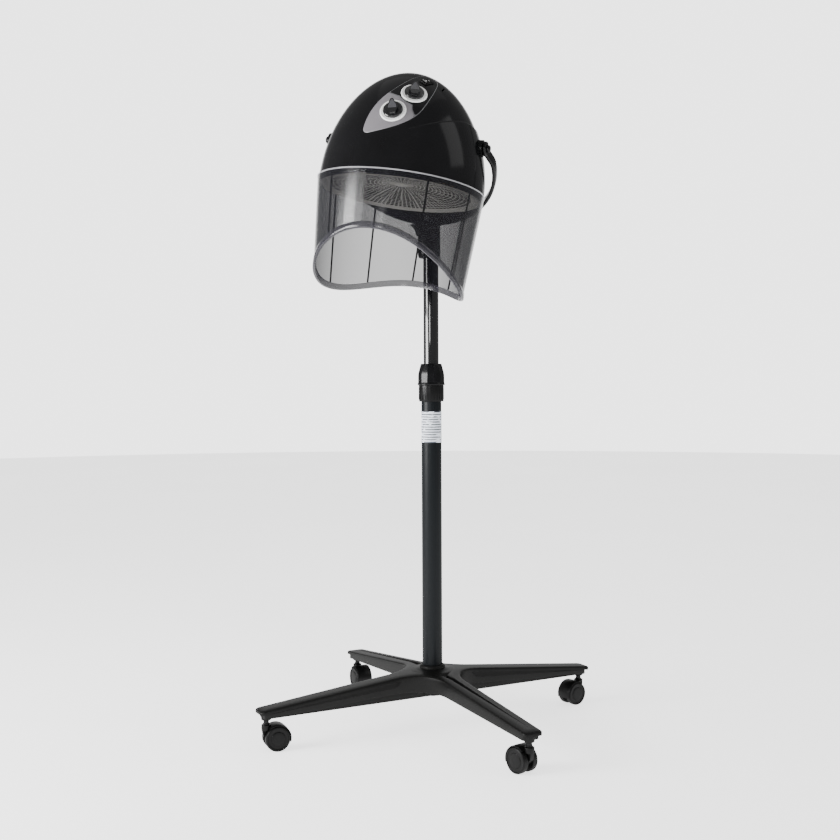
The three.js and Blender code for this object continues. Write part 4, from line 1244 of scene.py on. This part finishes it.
def make_floor():
    bm = bmesh.new()
    bmesh.ops.create_circle(bm, cap_ends=True, segments=96, radius=9.0)
    floor = add_object("floor", mesh_from("floor", bm))
    n = Nodes("floor_pale")
    base_stops = [(0.3, (0.86, 0.86, 0.86)), (0.7, (0.90, 0.90, 0.90))]
    n.link(n.ramp(n.noise(1.5, 2), base_stops), n.shader.inputs["Base Color"])
    n.shader.inputs["Roughness"].default_value = 0.9
    n.shader.inputs["Specular IOR Level"].default_value = 0.1
    glow_stops = [(0.3, (0.97, 0.97, 0.97)), (0.7, (1, 1, 1))]
    n.link(n.ramp(n.noise(1.2, 2), glow_stops), n.shader.inputs["Emission Color"])
    n.shader.inputs["Emission Strength"].default_value = 1.8
    floor.data.materials.append(n.material)


def make_world(around, behind):
    """A plain room, with a bright pale wall behind the object."""
    world = bpy.data.worlds.new("studio")
    world.use_nodes = True
    tree = world.node_tree
    direction = tree.nodes.new("ShaderNodeTexCoord")
    towards = tree.nodes.new("ShaderNodeVectorMath")
    towards.operation = "DOT_PRODUCT"
    turn = math.radians(VIEW_AZIMUTH)
    towards.inputs[1].default_value = (-math.sin(turn), math.cos(turn), 0)
    tree.links.new(direction.outputs["Generated"], towards.inputs[0])
    share = tree.nodes.new("ShaderNodeMapRange")
    share.interpolation_type = "SMOOTHSTEP"
    share.inputs["From Min"].default_value = 0.85
    share.inputs["From Max"].default_value = 0.92
    share.inputs["To Min"].default_value = around
    share.inputs["To Max"].default_value = behind
    tree.links.new(towards.outputs["Value"], share.inputs["Value"])
    background = tree.nodes["Background"]
    background.inputs["Color"].default_value = (1, 1, 1, 1)
    tree.links.new(share.outputs["Result"], background.inputs["Strength"])
    bpy.context.scene.world = world


def area_light(name, place, target, size, power):
    light = bpy.data.lights.new(name, "AREA")
    light.shape = "RECTANGLE"
    light.size, light.size_y = size
    light.energy = power
    obj = add_object(name, light)
    obj.location = place
    obj.rotation_euler = (Vector(target) - Vector(place)).to_track_quat("-Z", "Y").to_euler()
    obj.visible_camera = False


def make_camera():
    """The viewing angle: turned towards +X, from a little above half the object's height."""
    azimuth = math.radians(VIEW_AZIMUTH)
    pitch = math.radians(2.3)
    roll = math.radians(0.26)
    distance = 2.616
    left_shift = 0.024
    height = 0.752
    right = Vector((math.cos(azimuth), math.sin(azimuth), 0))
    level = Vector((-math.sin(azimuth), math.cos(azimuth), 0))
    up = Vector((0, 0, 1))
    place = Vector((0, COLUMN_Y / 1000, 0)) - level * distance - right * left_shift + up * height
    forward = level * math.cos(pitch) - up * math.sin(pitch)
    upward = up * math.cos(pitch) + level * math.sin(pitch)
    turned_right = right * math.cos(roll) + upward * math.sin(-roll)
    turned_up = upward * math.cos(roll) + right * math.sin(roll)
    data = bpy.data.cameras.new("camera")
    data.sensor_width = 36
    data.lens = 53.4
    data.clip_start = 0.05
    camera = add_object("camera", data)
    matrix = Matrix((turned_right, turned_up, -forward)).transposed().to_4x4()
    matrix.translation = place
    camera.matrix_world = matrix
    bpy.context.scene.camera = camera


make_floor()
make_world(ROOM_LIGHT, WALL_LIGHT)
for light in LIGHTS:
    area_light(*light)
make_camera()
